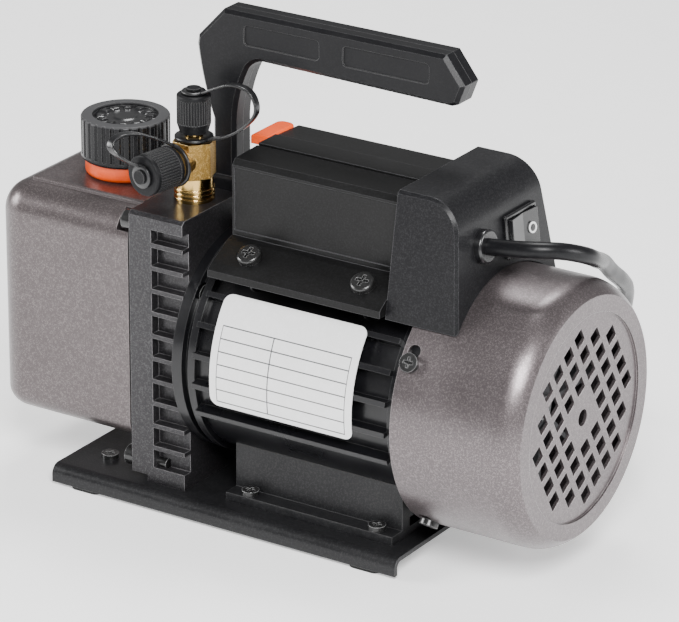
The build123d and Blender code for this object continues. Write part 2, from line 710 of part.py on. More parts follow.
# ================================================================ fan and fan cover
with BuildPart() as cooling_fan:
    ring(11.0, shaft_radius + 0.02, fan_x0, fan_x0 + fan_length - 2)
    ring(fan_radius, shaft_radius + 2, fan_x0, fan_x0 + 2.2)
    with BuildSketch(Plane.YZ.offset(fan_x0)):
        with Locations((0, axis_height)):
            with PolarLocations((11 + fan_radius) / 2 - 0.5, fan_blades):
                Rectangle(fan_radius - 11, 2.0)
    extrude(amount=fan_length)

with BuildPart() as fan_cover:
    with BuildSketch(Plane.XZ):
        with BuildLine():
            p0 = (cover_x0, axis_height + cover_radius)
            p1 = (shoulder_x, axis_height + cover_radius)
            p2 = (cover_x1, axis_height + face_radius)
            p3 = (cover_x1, axis_height + face_recess_radius)
            p4 = (cover_x1 - face_recess, axis_height + face_recess_radius)
            p5 = (cover_x1 - face_recess, axis_height)
            p6 = (cover_x1 - face_recess - sheet, axis_height)
            p7 = (cover_x1 - face_recess - sheet, axis_height + face_radius - sheet)
            p8 = (shoulder_x, axis_height + cover_radius - sheet)
            p9 = (cover_x0, axis_height + cover_radius - sheet)
            Line(p0, p1)
            TangentArc(p1, p2, tangent=(1, 0))
            Polyline(p2, p3, p4, p5, p6, p7)
            Polyline(p7, p8, p9, p0)
        make_face()
    revolve(axis=Axis((0, 0, axis_height), (1, 0, 0)))
    centres = []
    for row in range(-4, 4):
        level = row + 0.5
        reach = {0.5: 3.5, 1.5: 3.5, 2.5: 2.5, 3.5: 1.5}[abs(level)]
        columns = [k - reach for k in range(int(2 * reach) + 1)]
        for column in columns:
            if abs(level) > 1 or abs(column) > 1:
                centres.append((level * hole_pitch, column * hole_pitch))
    grille_plane = Plane.YZ.offset(cover_x1 - face_recess - sheet - 1)
    with BuildSketch(grille_plane):
        with Locations(Location((0, axis_height, 0), (0, 0, grille_turn))):
            with Locations(*centres):
                Rectangle(hole_size, hole_size)
        with Locations((0, axis_height)):
            Circle(centre_hole)
    extrude(amount=sheet + 2, mode=Mode.SUBTRACT)
    for angle in cover_screw_angles:
        out = (0, -cos(radians(angle)), sin(radians(angle)))
        for lift, radius in ((0, 2.2), (5.2, 2.9)):
            turned = radians(angle) + lift / cover_radius
            side = (0, -cos(turned), sin(turned))
            centre = (cover_screw_x, side[1] * (cover_radius - 3), axis_height + side[2] * (cover_radius - 3))
            with BuildSketch(Plane(origin=centre, x_dir=(1, 0, 0), z_dir=side)):
                Circle(radius)
            extrude(amount=6, mode=Mode.SUBTRACT)

with BuildPart() as fan_cover_screws:
    for angle in cover_screw_angles:
        screw(cover_screw_plane(angle), [(0, 0)], small_shank, 9.0, 4.1, 2.4, socket=False)

# ================================================================ terminal box and switch housing
wall_outline = [
    (0, box_top), (rib_half_width, box_top), (rib_half_width, box_top - 0.6),
    (box_half_width - 2.2, box_top - 1.3), (box_half_width, box_top - 3.6),
    (box_half_width, wall_foot), (30.0, wall_foot - 0.9), (42.0, wall_foot - 7.2),
    (shelf_half_width - 0.3, wall_foot - 9.9), (shelf_half_width, shelf_bottom)]
room_outline = [
    (0, box_top - plastic_wall - 0.8), (box_half_width - plastic_wall, box_top - plastic_wall - 1.4),
    (box_half_width - plastic_wall, wall_foot - 2.0), (29.4, wall_foot - 3.4), (40.8, wall_foot - 9.4),
    (shelf_half_width - plastic_wall, wall_foot - 11.0), (shelf_half_width - plastic_wall, shelf_bottom)]


def mirrored(points):
    """A closed outline from its right half, listed from the top down."""
    return points + [(-y, z) for y, z in reversed(points) if y > 0]


shelf_planes = [(x, side) for x in shelf_screw_x for side in (-1, 1)]

with BuildPart() as terminal_box:
    with BuildSketch(Plane.YZ.offset(box_x0)):
        with BuildLine():
            Polyline(*mirrored(wall_outline), close=True)
        make_face()
    extrude(amount=box_x1 - box_x0)
    with BuildSketch(Plane.YZ.offset(box_x0 + plastic_wall)):
        with BuildLine():
            Polyline(*mirrored(room_outline), close=True)
        make_face()
    extrude(amount=box_x1 - box_x0 - 2 * plastic_wall, mode=Mode.SUBTRACT)
    for side in (-1, 1):
        with Locations(((box_x0 + box_x1) / 2, side * (rib_half_width + 0.6), box_top - 0.6)):
            Box(box_x1 - box_x0, 1.2, 2 * groove_depth, mode=Mode.SUBTRACT)
        with Locations(((box_x0 + box_x1) / 2, side * box_half_width, (wall_foot + box_top) / 2 - 1.2)):
            Box(box_x1 - box_x0 - 2, 2 * panel_depth, box_top - wall_foot - 7.0, mode=Mode.SUBTRACT)
    bore(fin_radius + gap, box_x0, box_x1)
    with Locations(((box_x0 + box_x1) / 2, 0, pad_top_z - 20)):
        Box(box_x1 - box_x0 + 2, 45, 40, mode=Mode.SUBTRACT)
    bore(under_radius, box_x1 - plastic_wall, box_x1)
    for x, side in shelf_planes:
        holes(shelf_plane(x, side, 1), [(0, 0)], small_shank + 0.1, 12)
    with Locations((box_x1, 0, 140)):
        Cylinder(6, 6, rotation=(0, 90, 0), mode=Mode.SUBTRACT)

with BuildPart() as box_screws:
    for x, side in shelf_planes:
        screw(shelf_plane(x, side), [(0, 0)], 2.0, 10, 5.4, 3.0, socket=False)
    fillet(box_screws.edges().filter_by(GeomType.CIRCLE).filter_by(lambda e: abs(e.radius - 5.4) < 0.1)
           .group_by(Axis.Z)[-1], 1.2)

with BuildPart() as start_capacitor:
    ring(17.4, 0, box_x0 + 8, box_x0 + 74, 0, pad_top_z + 17.5)
    fillet(start_capacitor.edges().filter_by(GeomType.CIRCLE), 1.5)
    for y in (-5, 5):
        with Locations((box_x0 + 76, y, pad_top_z + 17.5)):
            Box(4.5, 0.8, 6)

lean = radians(end_lean)
end_top_x = housing_x1 - (housing_top - housing_foot) * tan(lean)
end_normal = (cos(lean), 0, sin(lean))


def end_wall_plane(y, z, lift=0.0):
    """The leaning end wall's plane at a height, local x along +Y and the normal pointing out."""
    x = housing_x1 - (z - housing_foot) * tan(lean)
    origin = (x + lift * end_normal[0], y, z + lift * end_normal[2])
    return Plane(origin=origin, x_dir=(0, 1, 0), z_dir=end_normal)


bezel_y, bezel_z = 12.8, 140.6
bezel_size = (24.5, 19.0)
rocker_size = (20.9, 15.2)
rocker_radius = 10.35
rocker_turn = 10.0          # half the rocker's travel
gland_y, gland_z = -15.9, 142.7
gland_radius = 7.2
cord_diameter = 7.2

with BuildPart() as switch_housing:
    with BuildSketch(Plane.XY.offset(housing_foot - 12)) as low:
        grow = 12 * (housing_foot_half_width - housing_half_width) / (housing_top - housing_foot)
        with Locations(((box_x1 + housing_x1 + 12 * tan(lean)) / 2, 0)):
            Rectangle(housing_x1 + 12 * tan(lean) - box_x1, 2 * (housing_foot_half_width + grow))
    with BuildSketch(Plane.XY.offset(housing_top)) as high:
        with Locations(((box_x1 + end_top_x) / 2, 0)):
            Rectangle(end_top_x - box_x1, 2 * housing_half_width)
    loft()
    with Locations((0, 0, housing_foot - 20)):
        Box(400, 400, 40, mode=Mode.SUBTRACT)
    fillet(switch_housing.edges().filter_by(Axis.Y).group_by(Axis.Z)[-1].sort_by(Axis.X)[-1], end_round)
    rim = switch_housing.faces().sort_by(Axis.Y)[0].edges() + switch_housing.faces().sort_by(Axis.Y)[-1].edges()
    rim = [e for e in rim if e.center().Z > housing_foot + 8 and e.center().X > box_x1 + 1]
    chamfer(rim, 1.3)
    with BuildSketch(Plane.XY.offset(housing_foot - 13)) as low_room:
        with Locations(((box_x1 + housing_x1 + 12 * tan(lean)) / 2, 0)):
            Rectangle(housing_x1 + 12 * tan(lean) - box_x1 - 2 * plastic_wall,
                      2 * (housing_foot_half_width + grow - plastic_wall))
    with BuildSketch(Plane.XY.offset(housing_top - plastic_wall)) as high_room:
        with Locations(((box_x1 + end_top_x - 8) / 2, 0)):
            Rectangle(end_top_x - box_x1 - 2 * plastic_wall - 6, 2 * (housing_half_width - plastic_wall - 0.5))
    loft(mode=Mode.SUBTRACT)
    bore(under_radius, box_x1, housing_x1 + 10)
    with Locations((box_x1, 0, 140)):
        Cylinder(6, 6, rotation=(0, 90, 0), mode=Mode.SUBTRACT)
    with BuildSketch(end_wall_plane(bezel_y, bezel_z, 1)):
        Rectangle(bezel_size[0] - 1.4, bezel_size[1] - 1.4)
    extrude(amount=-14, mode=Mode.SUBTRACT)
    with BuildSketch(end_wall_plane(gland_y, gland_z, 1)):
        Circle(gland_radius - 2.0)
    extrude(amount=-14, mode=Mode.SUBTRACT)

with BuildPart() as switch_bezel:
    with BuildSketch(end_wall_plane(bezel_y, bezel_z)):
        RectangleRounded(*bezel_size, 1.0)
    extrude(amount=2.0)
    chamfer(switch_bezel.faces().sort_by(Axis.X)[-1].edges(), 0.6)
    with BuildSketch(end_wall_plane(bezel_y, bezel_z)):
        Rectangle(bezel_size[0] - 1.6, bezel_size[1] - 1.6)
    extrude(amount=-17)
    with BuildSketch(end_wall_plane(bezel_y, bezel_z, 3)):
        Rectangle(rocker_size[0] + 0.8, rocker_size[1] + 0.8)
    extrude(amount=-16, mode=Mode.SUBTRACT)

rocker_frame = end_wall_plane(bezel_y, bezel_z, 1.0)
with BuildPart() as rocker_button:
    section = Plane(origin=rocker_frame.from_local_coords((0, -rocker_size[1] / 2, 0)),
                    x_dir=(0, 1, 0), z_dir=-rocker_frame.y_dir)
    up = 1 if section.y_dir.X > 0 else -1
    with BuildSketch(section):
        Circle(rocker_radius)
        with Locations(Location((0, 0, 0), (0, 0, -up * rocker_turn))):
            with BuildLine():
                Polyline((-12, up * 3.0), (0, up * 1.6), (12, up * 3.0), (12, up * 14), (-12, up * 14),
                         close=True)
            make_face(mode=Mode.SUBTRACT)
            with Locations((0, -up * 12)):
                Rectangle(30, 14, mode=Mode.SUBTRACT)
    extrude(amount=-rocker_size[1])

with BuildPart() as cord_gland:
    with BuildSketch(end_wall_plane(gland_y, gland_z)):
        Circle(gland_radius)
    extrude(amount=3.4)
    fillet(cord_gland.edges().filter_by(GeomType.CIRCLE).sort_by(Axis.X)[-1], 1.0)
    with BuildSketch(end_wall_plane(gland_y, gland_z)):
        Circle(gland_radius - 2.1)
    extrude(amount=-16)
    with BuildSketch(end_wall_plane(gland_y, gland_z, -9.5)):
        RegularPolygon(gland_radius + 0.6, 6)
    extrude(amount=-4)
    with BuildSketch(end_wall_plane(gland_y, gland_z, -17)):
        Circle(cord_diameter / 2 - 1)
    extrude(amount=25, mode=Mode.SUBTRACT)

# ================================================================ mains lead
plug_length = 34.0
plug_width, plug_height = 26.0, 21.6
plug_neck = 14.0
blade_size = (18.0, 6.3, 1.5)
coil_x, coil_y = 2.0, 114.0
coil_outer_turn = 45.2      # radius of the outer turns
coil_columns = 3
coil_layers = 2
cord_radius = cord_diameter / 2
floor_z = cord_radius + 0.05
tail_in = 27.0
tail_out = 32.0

gland_face = end_wall_plane(gland_y, gland_z, 3.4)
cord_route = [
    tuple(gland_face.origin), (113.0, -15.9, 144.44), (123.4, -14.2, 145.6), (131.6, -7.0, 144.8),
    (136.0, 5.5, 139.6), (132.8, 19.0, 132.6), (127.6, 34.0, 125.8), (122.8, 49.5, 115.0),
    (119.2, 66.0, 105.0), (113.2, 81.0, 94.4), (104.5, 94.0, 78.0), (96.0, 107.0, 57.0),
    (87.0, 122.5, 35.0), (75.0, 139.5, 16.0), (60.0, 153.0, 6.0), (44.0, coil_y + coil_outer_turn, floor_z),
    (coil_x + tail_in, coil_y + coil_outer_turn, floor_z)]
cord_radii = []
for before, corner, after in zip(cord_route, cord_route[1:], cord_route[2:]):
    arriving = Vector(*corner) - Vector(*before)
    leaving = Vector(*after) - Vector(*corner)
    turn = radians(arriving.get_angle(leaving))
    cord_radii.append(0.45 * min(arriving.length, leaving.length) / tan(turn / 2))

with BuildPart() as power_cord:
    with BuildLine() as cord_path:
        FilletPolyline(*cord_route, radius=cord_radii)
    with BuildSketch(gland_face):
        Circle(cord_radius)
    sweep(path=cord_path.line)

# the ring stands for turns laid three side by side in two layers, and is a hair larger than they are
with BuildPart() as cord_coil:
    coil_spare = 0.1
    with BuildSketch(Plane.XY):
        with Locations((coil_x, coil_y)):
            Circle(coil_outer_turn + cord_radius + coil_spare)
            Circle(coil_outer_turn + cord_radius - coil_columns * cord_diameter - coil_spare,
                   mode=Mode.SUBTRACT)
    extrude(amount=floor_z - cord_radius + coil_layers * cord_diameter + coil_spare)
    chamfer(cord_coil.edges().filter_by(GeomType.CIRCLE), 2.4)
    top_turn_z = floor_z + (coil_layers - 1) * cord_diameter
    for y, z, length in ((coil_y + coil_outer_turn, floor_z, tail_in),
                         (coil_y - coil_outer_turn, top_turn_z, tail_out)):
        with BuildSketch(Plane.YZ.offset(coil_x)):
            with Locations((y, z)):
                Circle(cord_radius)
        extrude(amount=length)
    plug_z = plug_height / 2 + 0.05
    plug_x0 = coil_x + tail_out

with BuildPart() as plug_body:
    plug_y = coil_y - coil_outer_turn
    with BuildSketch(Plane.YZ.offset(plug_x0)):
        with Locations((plug_y, plug_z)):
            Circle(cord_radius + 0.9)
    with BuildSketch(Plane.YZ.offset(plug_x0 + plug_neck)):
        with Locations((plug_y, plug_z)):
            Circle(cord_radius + 2.6)
    loft()
    with BuildSketch(Plane.YZ.offset(plug_x0 + plug_neck)):
        with Locations((plug_y, plug_z)):
            RectangleRounded(plug_width, plug_height, 6)
    extrude(amount=plug_length)
    fillet(plug_body.faces().sort_by(Axis.X)[-1].edges(), 1.5)
    plug_x1 = plug_x0 + plug_neck + plug_length

with BuildPart() as plug_blades:
    for y in (-6.35, 6.35):
        with Locations((plug_x1 + blade_size[0] / 2, plug_y + y, plug_z + 3)):
            Box(blade_size[0], blade_size[2], blade_size[1])
    ring(2.4, 0, plug_x1, plug_x1 + blade_size[0] + 2.5, plug_y, plug_z - 6.5)

# ================================================================ intake fitting and its caps
hex_corner = 9.6
hex_z0 = block_top + 11.1
hex_z1 = block_top + 26.9
small_neck_radius = 3.7
small_thread_radius = 5.5
large_thread_radius = 7.9
port_z = block_top + 18.6
tilt = radians(port_tilt)
port_out = Vector(-sin(tilt), -cos(tilt), 0)
small_cap_radius = 7.35
large_cap_radius = 9.0
small_cap_z0 = hex_z1 + 3.6
small_cap_length = 17.0
large_cap_start = 14.6
large_cap_length = 16.6
strap_thickness = 1.2
strap_width = 3.6


def port_plane(distance):
    """A plane across the side port, at a distance from the fitting's own axis."""
    origin = Vector(fitting_x, fitting_y, port_z) + port_out * distance
    return Plane(origin=origin, x_dir=(-port_out.Y, port_out.X, 0), z_dir=port_out)


with BuildPart() as intake_fitting:
    with BuildSketch(Plane.XY.offset(block_top)):
        with Locations((fitting_x, fitting_y)):
            Circle(8.2)
    extrude(amount=hex_z0 - block_top)
    for lift in (0.8, 2.8, 4.8):
        with BuildSketch(Plane.XY.offset(block_top + lift)):
            with Locations((fitting_x, fitting_y)):
                Circle(8.8)
        extrude(amount=1.1)
    with BuildSketch(Plane.XY.offset(hex_z0)):
        with Locations(Location((fitting_x, fitting_y, 0), (0, 0, 60 - port_tilt))):
            RegularPolygon(hex_corner, 6)
    extrude(amount=hex_z1 - hex_z0)
    with BuildSketch(Plane.XY.offset(hex_z1)):
        with Locations((fitting_x, fitting_y)):
            Circle(small_neck_radius)
    extrude(amount=4.0)
    with BuildSketch(Plane.XY.offset(hex_z1 + 4.0)):
        with Locations((fitting_x, fitting_y)):
            Circle(small_thread_radius)
    extrude(amount=12.0)
    chamfer(intake_fitting.edges().group_by(Axis.Z)[-1], 1.4)
    with BuildSketch(port_plane(0)):
        Circle(6.4)
    extrude(amount=13.4)
    with BuildSketch(port_plane(13.4)):
        Circle(large_thread_radius)
    extrude(amount=14.0)
    chamfer(intake_fitting.edges().filter_by(GeomType.CIRCLE).sort_by(Axis.Y)[0], 1.4)
    with BuildSketch(Plane.XY.offset(block_top)):
        with Locations((fitting_x, fitting_y)):
            Circle(stub_radius)
    extrude(amount=-stub_depth)
    with BuildSketch(Plane.XY.offset(hex_z1 + 17)):
        with Locations((fitting_x, fitting_y)):
            Circle(2.4)
    extrude(amount=-(hex_z1 + 18 - block_top + stub_depth), mode=Mode.SUBTRACT)
    with BuildSketch(port_plane(28)):
        Circle(4.8)
    extrude(amount=-28, mode=Mode.SUBTRACT)

cap_pin_radius = 1.9
cap_pin_head = 3.1

with BuildPart() as small_port_cap:
    with BuildSketch(Plane.XY.offset(small_cap_z0)):
        with Locations((fitting_x, fitting_y)):
            Circle(small_cap_radius)
    extrude(amount=small_cap_length)
    chamfer(small_port_cap.edges().group_by(Axis.Z)[0], length=4.0, length2=1.2)
    fillet(small_port_cap.edges().group_by(Axis.Z)[-1], 1.0)
    with BuildSketch(Plane.XY.offset(small_cap_z0 + 4.4)):
        with Locations((fitting_x, fitting_y)):
            with PolarLocations(small_cap_radius + 0.1, 36):
                Circle(0.42)
    extrude(amount=small_cap_length - 6.4, mode=Mode.SUBTRACT)
    with BuildSketch(Plane.XY.offset(small_cap_z0)):
        with Locations((fitting_x, fitting_y)):
            Circle(small_thread_radius + running_fit)
    extrude(amount=13.6, mode=Mode.SUBTRACT)
    small_cap_top = small_cap_z0 + small_cap_length
    with BuildSketch(Plane.XY.offset(small_cap_top)):
        with Locations((fitting_x, fitting_y)):
            Circle(cap_pin_radius)
    extrude(amount=strap_thickness + 0.4)
    with BuildSketch(Plane.XY.offset(small_cap_top + strap_thickness + 0.4)):
        with Locations((fitting_x, fitting_y)):
            Circle(cap_pin_head)
    extrude(amount=1.0)

large_cap_end = large_cap_start + large_cap_length
with BuildPart() as large_port_cap:
    with BuildSketch(port_plane(large_cap_start)):
        Circle(large_cap_radius)
    extrude(amount=large_cap_length)
    fillet(large_port_cap.edges().filter_by(GeomType.CIRCLE), 0.8)
    with BuildSketch(port_plane(large_cap_start + 2.2)):
        with PolarLocations(large_cap_radius + 0.1, 44):
            Circle(0.42)
    extrude(amount=large_cap_length - 4.4, mode=Mode.SUBTRACT)
    with BuildSketch(port_plane(large_cap_start)):
        Circle(large_thread_radius + running_fit)
    extrude(amount=13.4, mode=Mode.SUBTRACT)
    with BuildSketch(port_plane(large_cap_end)):
        Circle(cap_pin_radius)
    extrude(amount=strap_thickness + 0.4)
    with BuildSketch(port_plane(large_cap_end + strap_thickness + 0.4)):
        Circle(cap_pin_head)
    extrude(amount=1.0)

eye_radius = 5.2
small_strap_route = [(4.6, 0.8), (17.1, 6.8), (24.7, 7.4), (29.7, 5.2), (32.1, -0.1), (30.5, -5.2),
                     (24.4, -11.4), (16.7, -16.2), (8.0, hex_z1 + 1.3 - small_cap_top)]

with BuildPart() as small_cap_tether:
    with BuildSketch(Plane.XY.offset(small_cap_top + 0.2)):
        with Locations((fitting_x, fitting_y)):
            Circle(eye_radius)
            Circle(cap_pin_radius + 0.1, mode=Mode.SUBTRACT)
    extrude(amount=strap_thickness)
    with BuildSketch(Plane.XY.offset(hex_z1 + 0.7)):
        with Locations((fitting_x, fitting_y)):
            Circle(8.4)
            Circle(small_neck_radius + 0.1, mode=Mode.SUBTRACT)
    extrude(amount=strap_thickness)
    with BuildLine() as small_strap:
        Spline(*[(fitting_x + out, fitting_y, small_cap_top + up) for out, up in small_strap_route])
    with BuildSketch(Plane(origin=small_strap.line @ 0, x_dir=(0, 1, 0), z_dir=small_strap.line % 0)):
        Rectangle(strap_width, strap_thickness)
    sweep(path=small_strap.line)

neck_ring_start = 12.0
large_strap_route = [(-1.2, 8.6), (-3.4, 10.6), (-5.6, 12.9), (-7.2, 16.1), (-8.8, 17.1), (-10.1, 15.7),
                     (-9.4, 12.9), (-6.5, 9.9), (-4.1, 6.6), (-2.4, 4.4)]
large_strap_out = [12.6, 15.4, 19.9, 27.3, 34.0, 38.6, 40.6, 39.6, 36.0, 32.4]

with BuildPart() as large_cap_tether:
    with BuildSketch(port_plane(large_cap_end + 0.2)):
        Circle(eye_radius)
        Circle(cap_pin_radius + 0.1, mode=Mode.SUBTRACT)
    extrude(amount=strap_thickness)
    with BuildSketch(port_plane(neck_ring_start)):
        Circle(9.6)
        Circle(6.5, mode=Mode.SUBTRACT)
    extrude(amount=strap_thickness)
    with BuildLine() as large_strap:
        Spline(*[port_plane(out).from_local_coords((across, up, 0))
                 for (across, up), out in zip(large_strap_route, large_strap_out)])
    start_plane = Plane(origin=large_strap.line @ 0, x_dir=port_plane(0).x_dir, z_dir=large_strap.line % 0)
    with BuildSketch(start_plane):
        Rectangle(strap_width, strap_thickness)
    sweep(path=large_strap.line)

# ================================================================ handle
half_thickness = 6.8
edge_bevel = 1.7
post_foot_height = 6.4
notch_count = 11
notch_pitch = 8.6
joint_screws = [(flange_x0 + 26.0, grip_top - 10.0), (flange_x0 + 74.0, grip_top - 11.5),
                (flange_x0 + 128.0, grip_top - 10.5)]


def handle_half(side):
    """One moulded half of the handle: side -1 is the label side."""
    face = Plane(origin=(flange_x0, handle_y, grip_top), x_dir=(1, 0, 0), z_dir=(0, side, 0))
    up = 1 if face.y_dir.Z > 0 else -1
    foot = up * (block_top + post_foot_height - 1 - grip_top)
    with BuildSketch(face) as outline:
        with BuildLine():
            Polyline((19.1, 0), (5.9, up * -14.0), (5.3, up * -18.0))
            ThreePointArc((5.3, up * -18.0), (8.1, up * -33.0), (13.4, up * -50.0))
            Polyline((13.4, up * -50.0), (13.4, foot), (24.9, foot), (24.9, up * -50.0))
            ThreePointArc((24.9, up * -50.0), (26.9, up * -36.0), (31.0, up * -25.0))
            ThreePointArc((31.0, up * -25.0), (34.6, up * -21.4), (40.0, up * -20.3))
            Polyline((40.0, up * -20.3), (132.0, up * -21.7), (135.0, up * -20.6), (138.3, up * -12.0),
                     (129.1, 0), (19.1, 0))
        make_face()
    extrude(outline.sketch, amount=half_thickness)


def handle_details(side):
    """Bevelled edges, finger notches, side pockets and the foot of one half."""
    outer_y = handle_y + side * half_thickness
    for x0, x1 in ((29.7, 67.6), (79.3, 121.6)):
        pocket = Plane(origin=(flange_x0 + (x0 + x1) / 2, outer_y, grip_top - 9.6), x_dir=(1, 0, 0),
                       z_dir=(0, side, 0))
        with BuildSketch(pocket) as recess:
            RectangleRounded(x1 - x0, 9.0, 2.0)
        extrude(recess.sketch, amount=-0.7, mode=Mode.SUBTRACT)
    with Locations(*[(flange_x0 + 42.5 + i * notch_pitch, handle_y + side * half_thickness / 2,
                      grip_top - 22.2 - i * 0.13) for i in range(notch_count)]):
        Cylinder(2.0, half_thickness, rotation=(90, 0, 0), mode=Mode.SUBTRACT)
    y0, y1 = (handle_foot_y[0], handle_y) if side < 0 else (handle_y, handle_foot_y[1])
    with Locations(((handle_foot_x[0] + handle_foot_x[1]) / 2, (y0 + y1) / 2,
                    block_top + post_foot_height / 2)):
        Box(handle_foot_x[1] - handle_foot_x[0], y1 - y0, post_foot_height)


with BuildPart() as handle_front_half:
    handle_half(-1)
    outer = handle_front_half.faces().sort_by(Axis.Y)[0]
    chamfer(outer.edges().filter_by(lambda e: e.center().Z > block_top + 12), edge_bevel)
    handle_details(-1)
    front_edge = handle_front_half.edges().filter_by(Axis.X).filter_by(
        lambda e: abs(e.center().Z - block_top - post_foot_height) < 0.1)
    fillet(front_edge.group_by(Axis.Y)[0], 2.5)
    holes(Plane.XZ.offset(-handle_y), joint_screws, 1.3, -5)

with BuildPart() as handle_rear_half:
    handle_half(1)
    outer = handle_rear_half.faces().sort_by(Axis.Y)[-1]
    chamfer(outer.edges().filter_by(lambda e: e.center().Z > block_top + 12), edge_bevel)
    handle_details(1)
    holes(Plane.XY.offset(block_top + post_foot_height), handle_screw_points, 2.6, 8)
    with BuildSketch(Plane.XZ.offset(-handle_y - half_thickness)):
        with Locations(*joint_screws):
            Circle(2.9)
    extrude(amount=2.6, mode=Mode.SUBTRACT)
    with BuildSketch(Plane.XZ.offset(-handle_y - half_thickness)):
        with Locations(*joint_screws):
            Circle(1.6)
    extrude(amount=half_thickness, mode=Mode.SUBTRACT)

with BuildPart() as handle_screws:
    screw(Plane.XY.offset(block_top + post_foot_height), handle_screw_points, 2.5, 16, 4.2, 4.4)

# ================================================================ label and tab
label_x0, label_x1 = -11.9, 59.1
label_low, label_high = -11.5, 42.0
label_thickness = 0.35
tab_size = (9.0, 22.0, 4.2)
tab_origin = (-26.9, 1.0, 157.2)

with BuildPart() as rating_label:
    with BuildSketch(Plane.YZ.offset(label_x0)):
        with BuildLine():
            inside_radius = fin_radius + 0.03
            outside_radius = inside_radius + label_thickness
            ends = []
            for radius in (inside_radius, outside_radius):
                row = []
                for angle in (label_low, (label_low + label_high) / 2, label_high):
                    a = radians(angle)
                    row.append((-radius * cos(a), axis_height + radius * sin(a)))
                ThreePointArc(*row)
                ends.append((row[0], row[-1]))
            Line(ends[0][0], ends[1][0])
            Line(ends[0][1], ends[1][1])
        make_face()
    extrude(amount=label_x1 - label_x0)
    short = rating_label.edges().filter_by(lambda e: e.length < 1.0)
    fillet(short, 4.0)

with BuildPart() as orange_tab:
    with BuildSketch(Plane.XY.offset(tab_origin[2])):
        with Locations((tab_origin[0] + tab_size[0] / 2, tab_origin[1] + tab_size[1] / 2)):
            Rectangle(tab_size[0], tab_size[1])
    extrude(amount=tab_size[2])
    fillet(orange_tab.edges().filter_by(Axis.Z).group_by(Axis.Y)[-1], 3.5)
    fillet(orange_tab.edges().group_by(Axis.Z)[-1], 1.2)

pieces = {
    "base_plate": base_plate, "rubber_feet": rubber_feet, "base_screws": base_screws, "pump_block":
    pump_block, "block_bolts": block_bolts, "shaft_seal": shaft_seal, "oil_tank": oil_tank,
    "tank_gasket": tank_gasket, "tank_bolts": tank_bolts, "sight_glass": sight_glass,
    "sight_glass_ring": sight_glass_ring, "drain_seal": drain_seal, "drain_plug": drain_plug,
    "cap_seal_ring": cap_seal_ring, "oil_fill_cap": oil_fill_cap, "pump_cylinder": pump_cylinder,
    "pump_end_plate": pump_end_plate, "cylinder_bolts": cylinder_bolts, "exhaust_flap": exhaust_flap,
    "flap_stop": flap_stop, "pump_rotor": pump_rotor, "vane_a": vane_a, "vane_b": vane_b,
    "vane_springs": vane_springs, "motor_front_bell": motor_front_bell, "motor_housing": motor_housing,
    "motor_foot": motor_foot, "motor_rear_bell": motor_rear_bell, "bell_screws": bell_screws,
    "bearing_outer_rings": bearing_outer_rings, "bearing_inner_rings": bearing_inner_rings,
    "bearing_balls": bearing_balls, "stator_core": stator_core, "stator_winding": stator_winding,
    "motor_rotor": motor_rotor, "motor_shaft": motor_shaft, "cooling_fan": cooling_fan, "fan_cover":
    fan_cover, "fan_cover_screws": fan_cover_screws, "terminal_box": terminal_box, "box_screws":
    box_screws, "start_capacitor": start_capacitor, "switch_housing": switch_housing, "switch_bezel":
    switch_bezel, "rocker_button": rocker_button, "cord_gland": cord_gland, "power_cord": power_cord,
    "cord_coil": cord_coil, "plug_body": plug_body, "plug_blades": plug_blades, "intake_fitting":
    intake_fitting, "small_port_cap": small_port_cap, "small_cap_tether": small_cap_tether,
    "large_port_cap": large_port_cap, "large_cap_tether": large_cap_tether, "handle_front_half":
    handle_front_half, "handle_rear_half": handle_rear_half, "handle_screws": handle_screws,
    "rating_label": rating_label, "orange_tab": orange_tab}
for name, piece in pieces.items():
    piece.part.label = name
    export_step(piece.part, f"parts/{name}.step")
print(len(pieces), "pieces; bends of the lead", [round(r, 1) for r in cord_radii])
cord_length = cord_path.wires()[0].length
cord_volume = 3.14159 * cord_radius ** 2 * cord_length
print("lead", round(cord_length), "mm, volume ratio", round(power_cord.part.volume / cord_volume, 4))
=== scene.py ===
import bpy
import numpy as np
from math import cos, pi, radians, sin, tan
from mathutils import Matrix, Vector


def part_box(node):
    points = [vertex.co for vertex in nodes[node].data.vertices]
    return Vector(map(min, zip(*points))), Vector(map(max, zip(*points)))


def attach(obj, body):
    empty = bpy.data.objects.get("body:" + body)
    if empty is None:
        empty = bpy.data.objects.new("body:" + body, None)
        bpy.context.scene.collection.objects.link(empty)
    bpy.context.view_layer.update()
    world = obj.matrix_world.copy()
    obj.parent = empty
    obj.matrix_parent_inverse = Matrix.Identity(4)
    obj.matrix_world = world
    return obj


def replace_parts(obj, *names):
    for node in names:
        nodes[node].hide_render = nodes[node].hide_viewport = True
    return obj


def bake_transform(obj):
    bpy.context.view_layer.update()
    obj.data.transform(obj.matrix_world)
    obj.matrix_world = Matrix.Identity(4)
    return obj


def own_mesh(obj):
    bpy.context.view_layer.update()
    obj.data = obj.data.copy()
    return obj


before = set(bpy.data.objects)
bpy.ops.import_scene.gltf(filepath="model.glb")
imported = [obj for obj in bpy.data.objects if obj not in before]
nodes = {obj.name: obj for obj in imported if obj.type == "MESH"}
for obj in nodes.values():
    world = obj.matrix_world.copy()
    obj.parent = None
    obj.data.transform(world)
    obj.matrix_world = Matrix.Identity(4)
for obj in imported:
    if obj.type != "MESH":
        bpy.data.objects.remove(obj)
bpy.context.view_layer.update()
print("frame loaded:", len(nodes), "nodes")

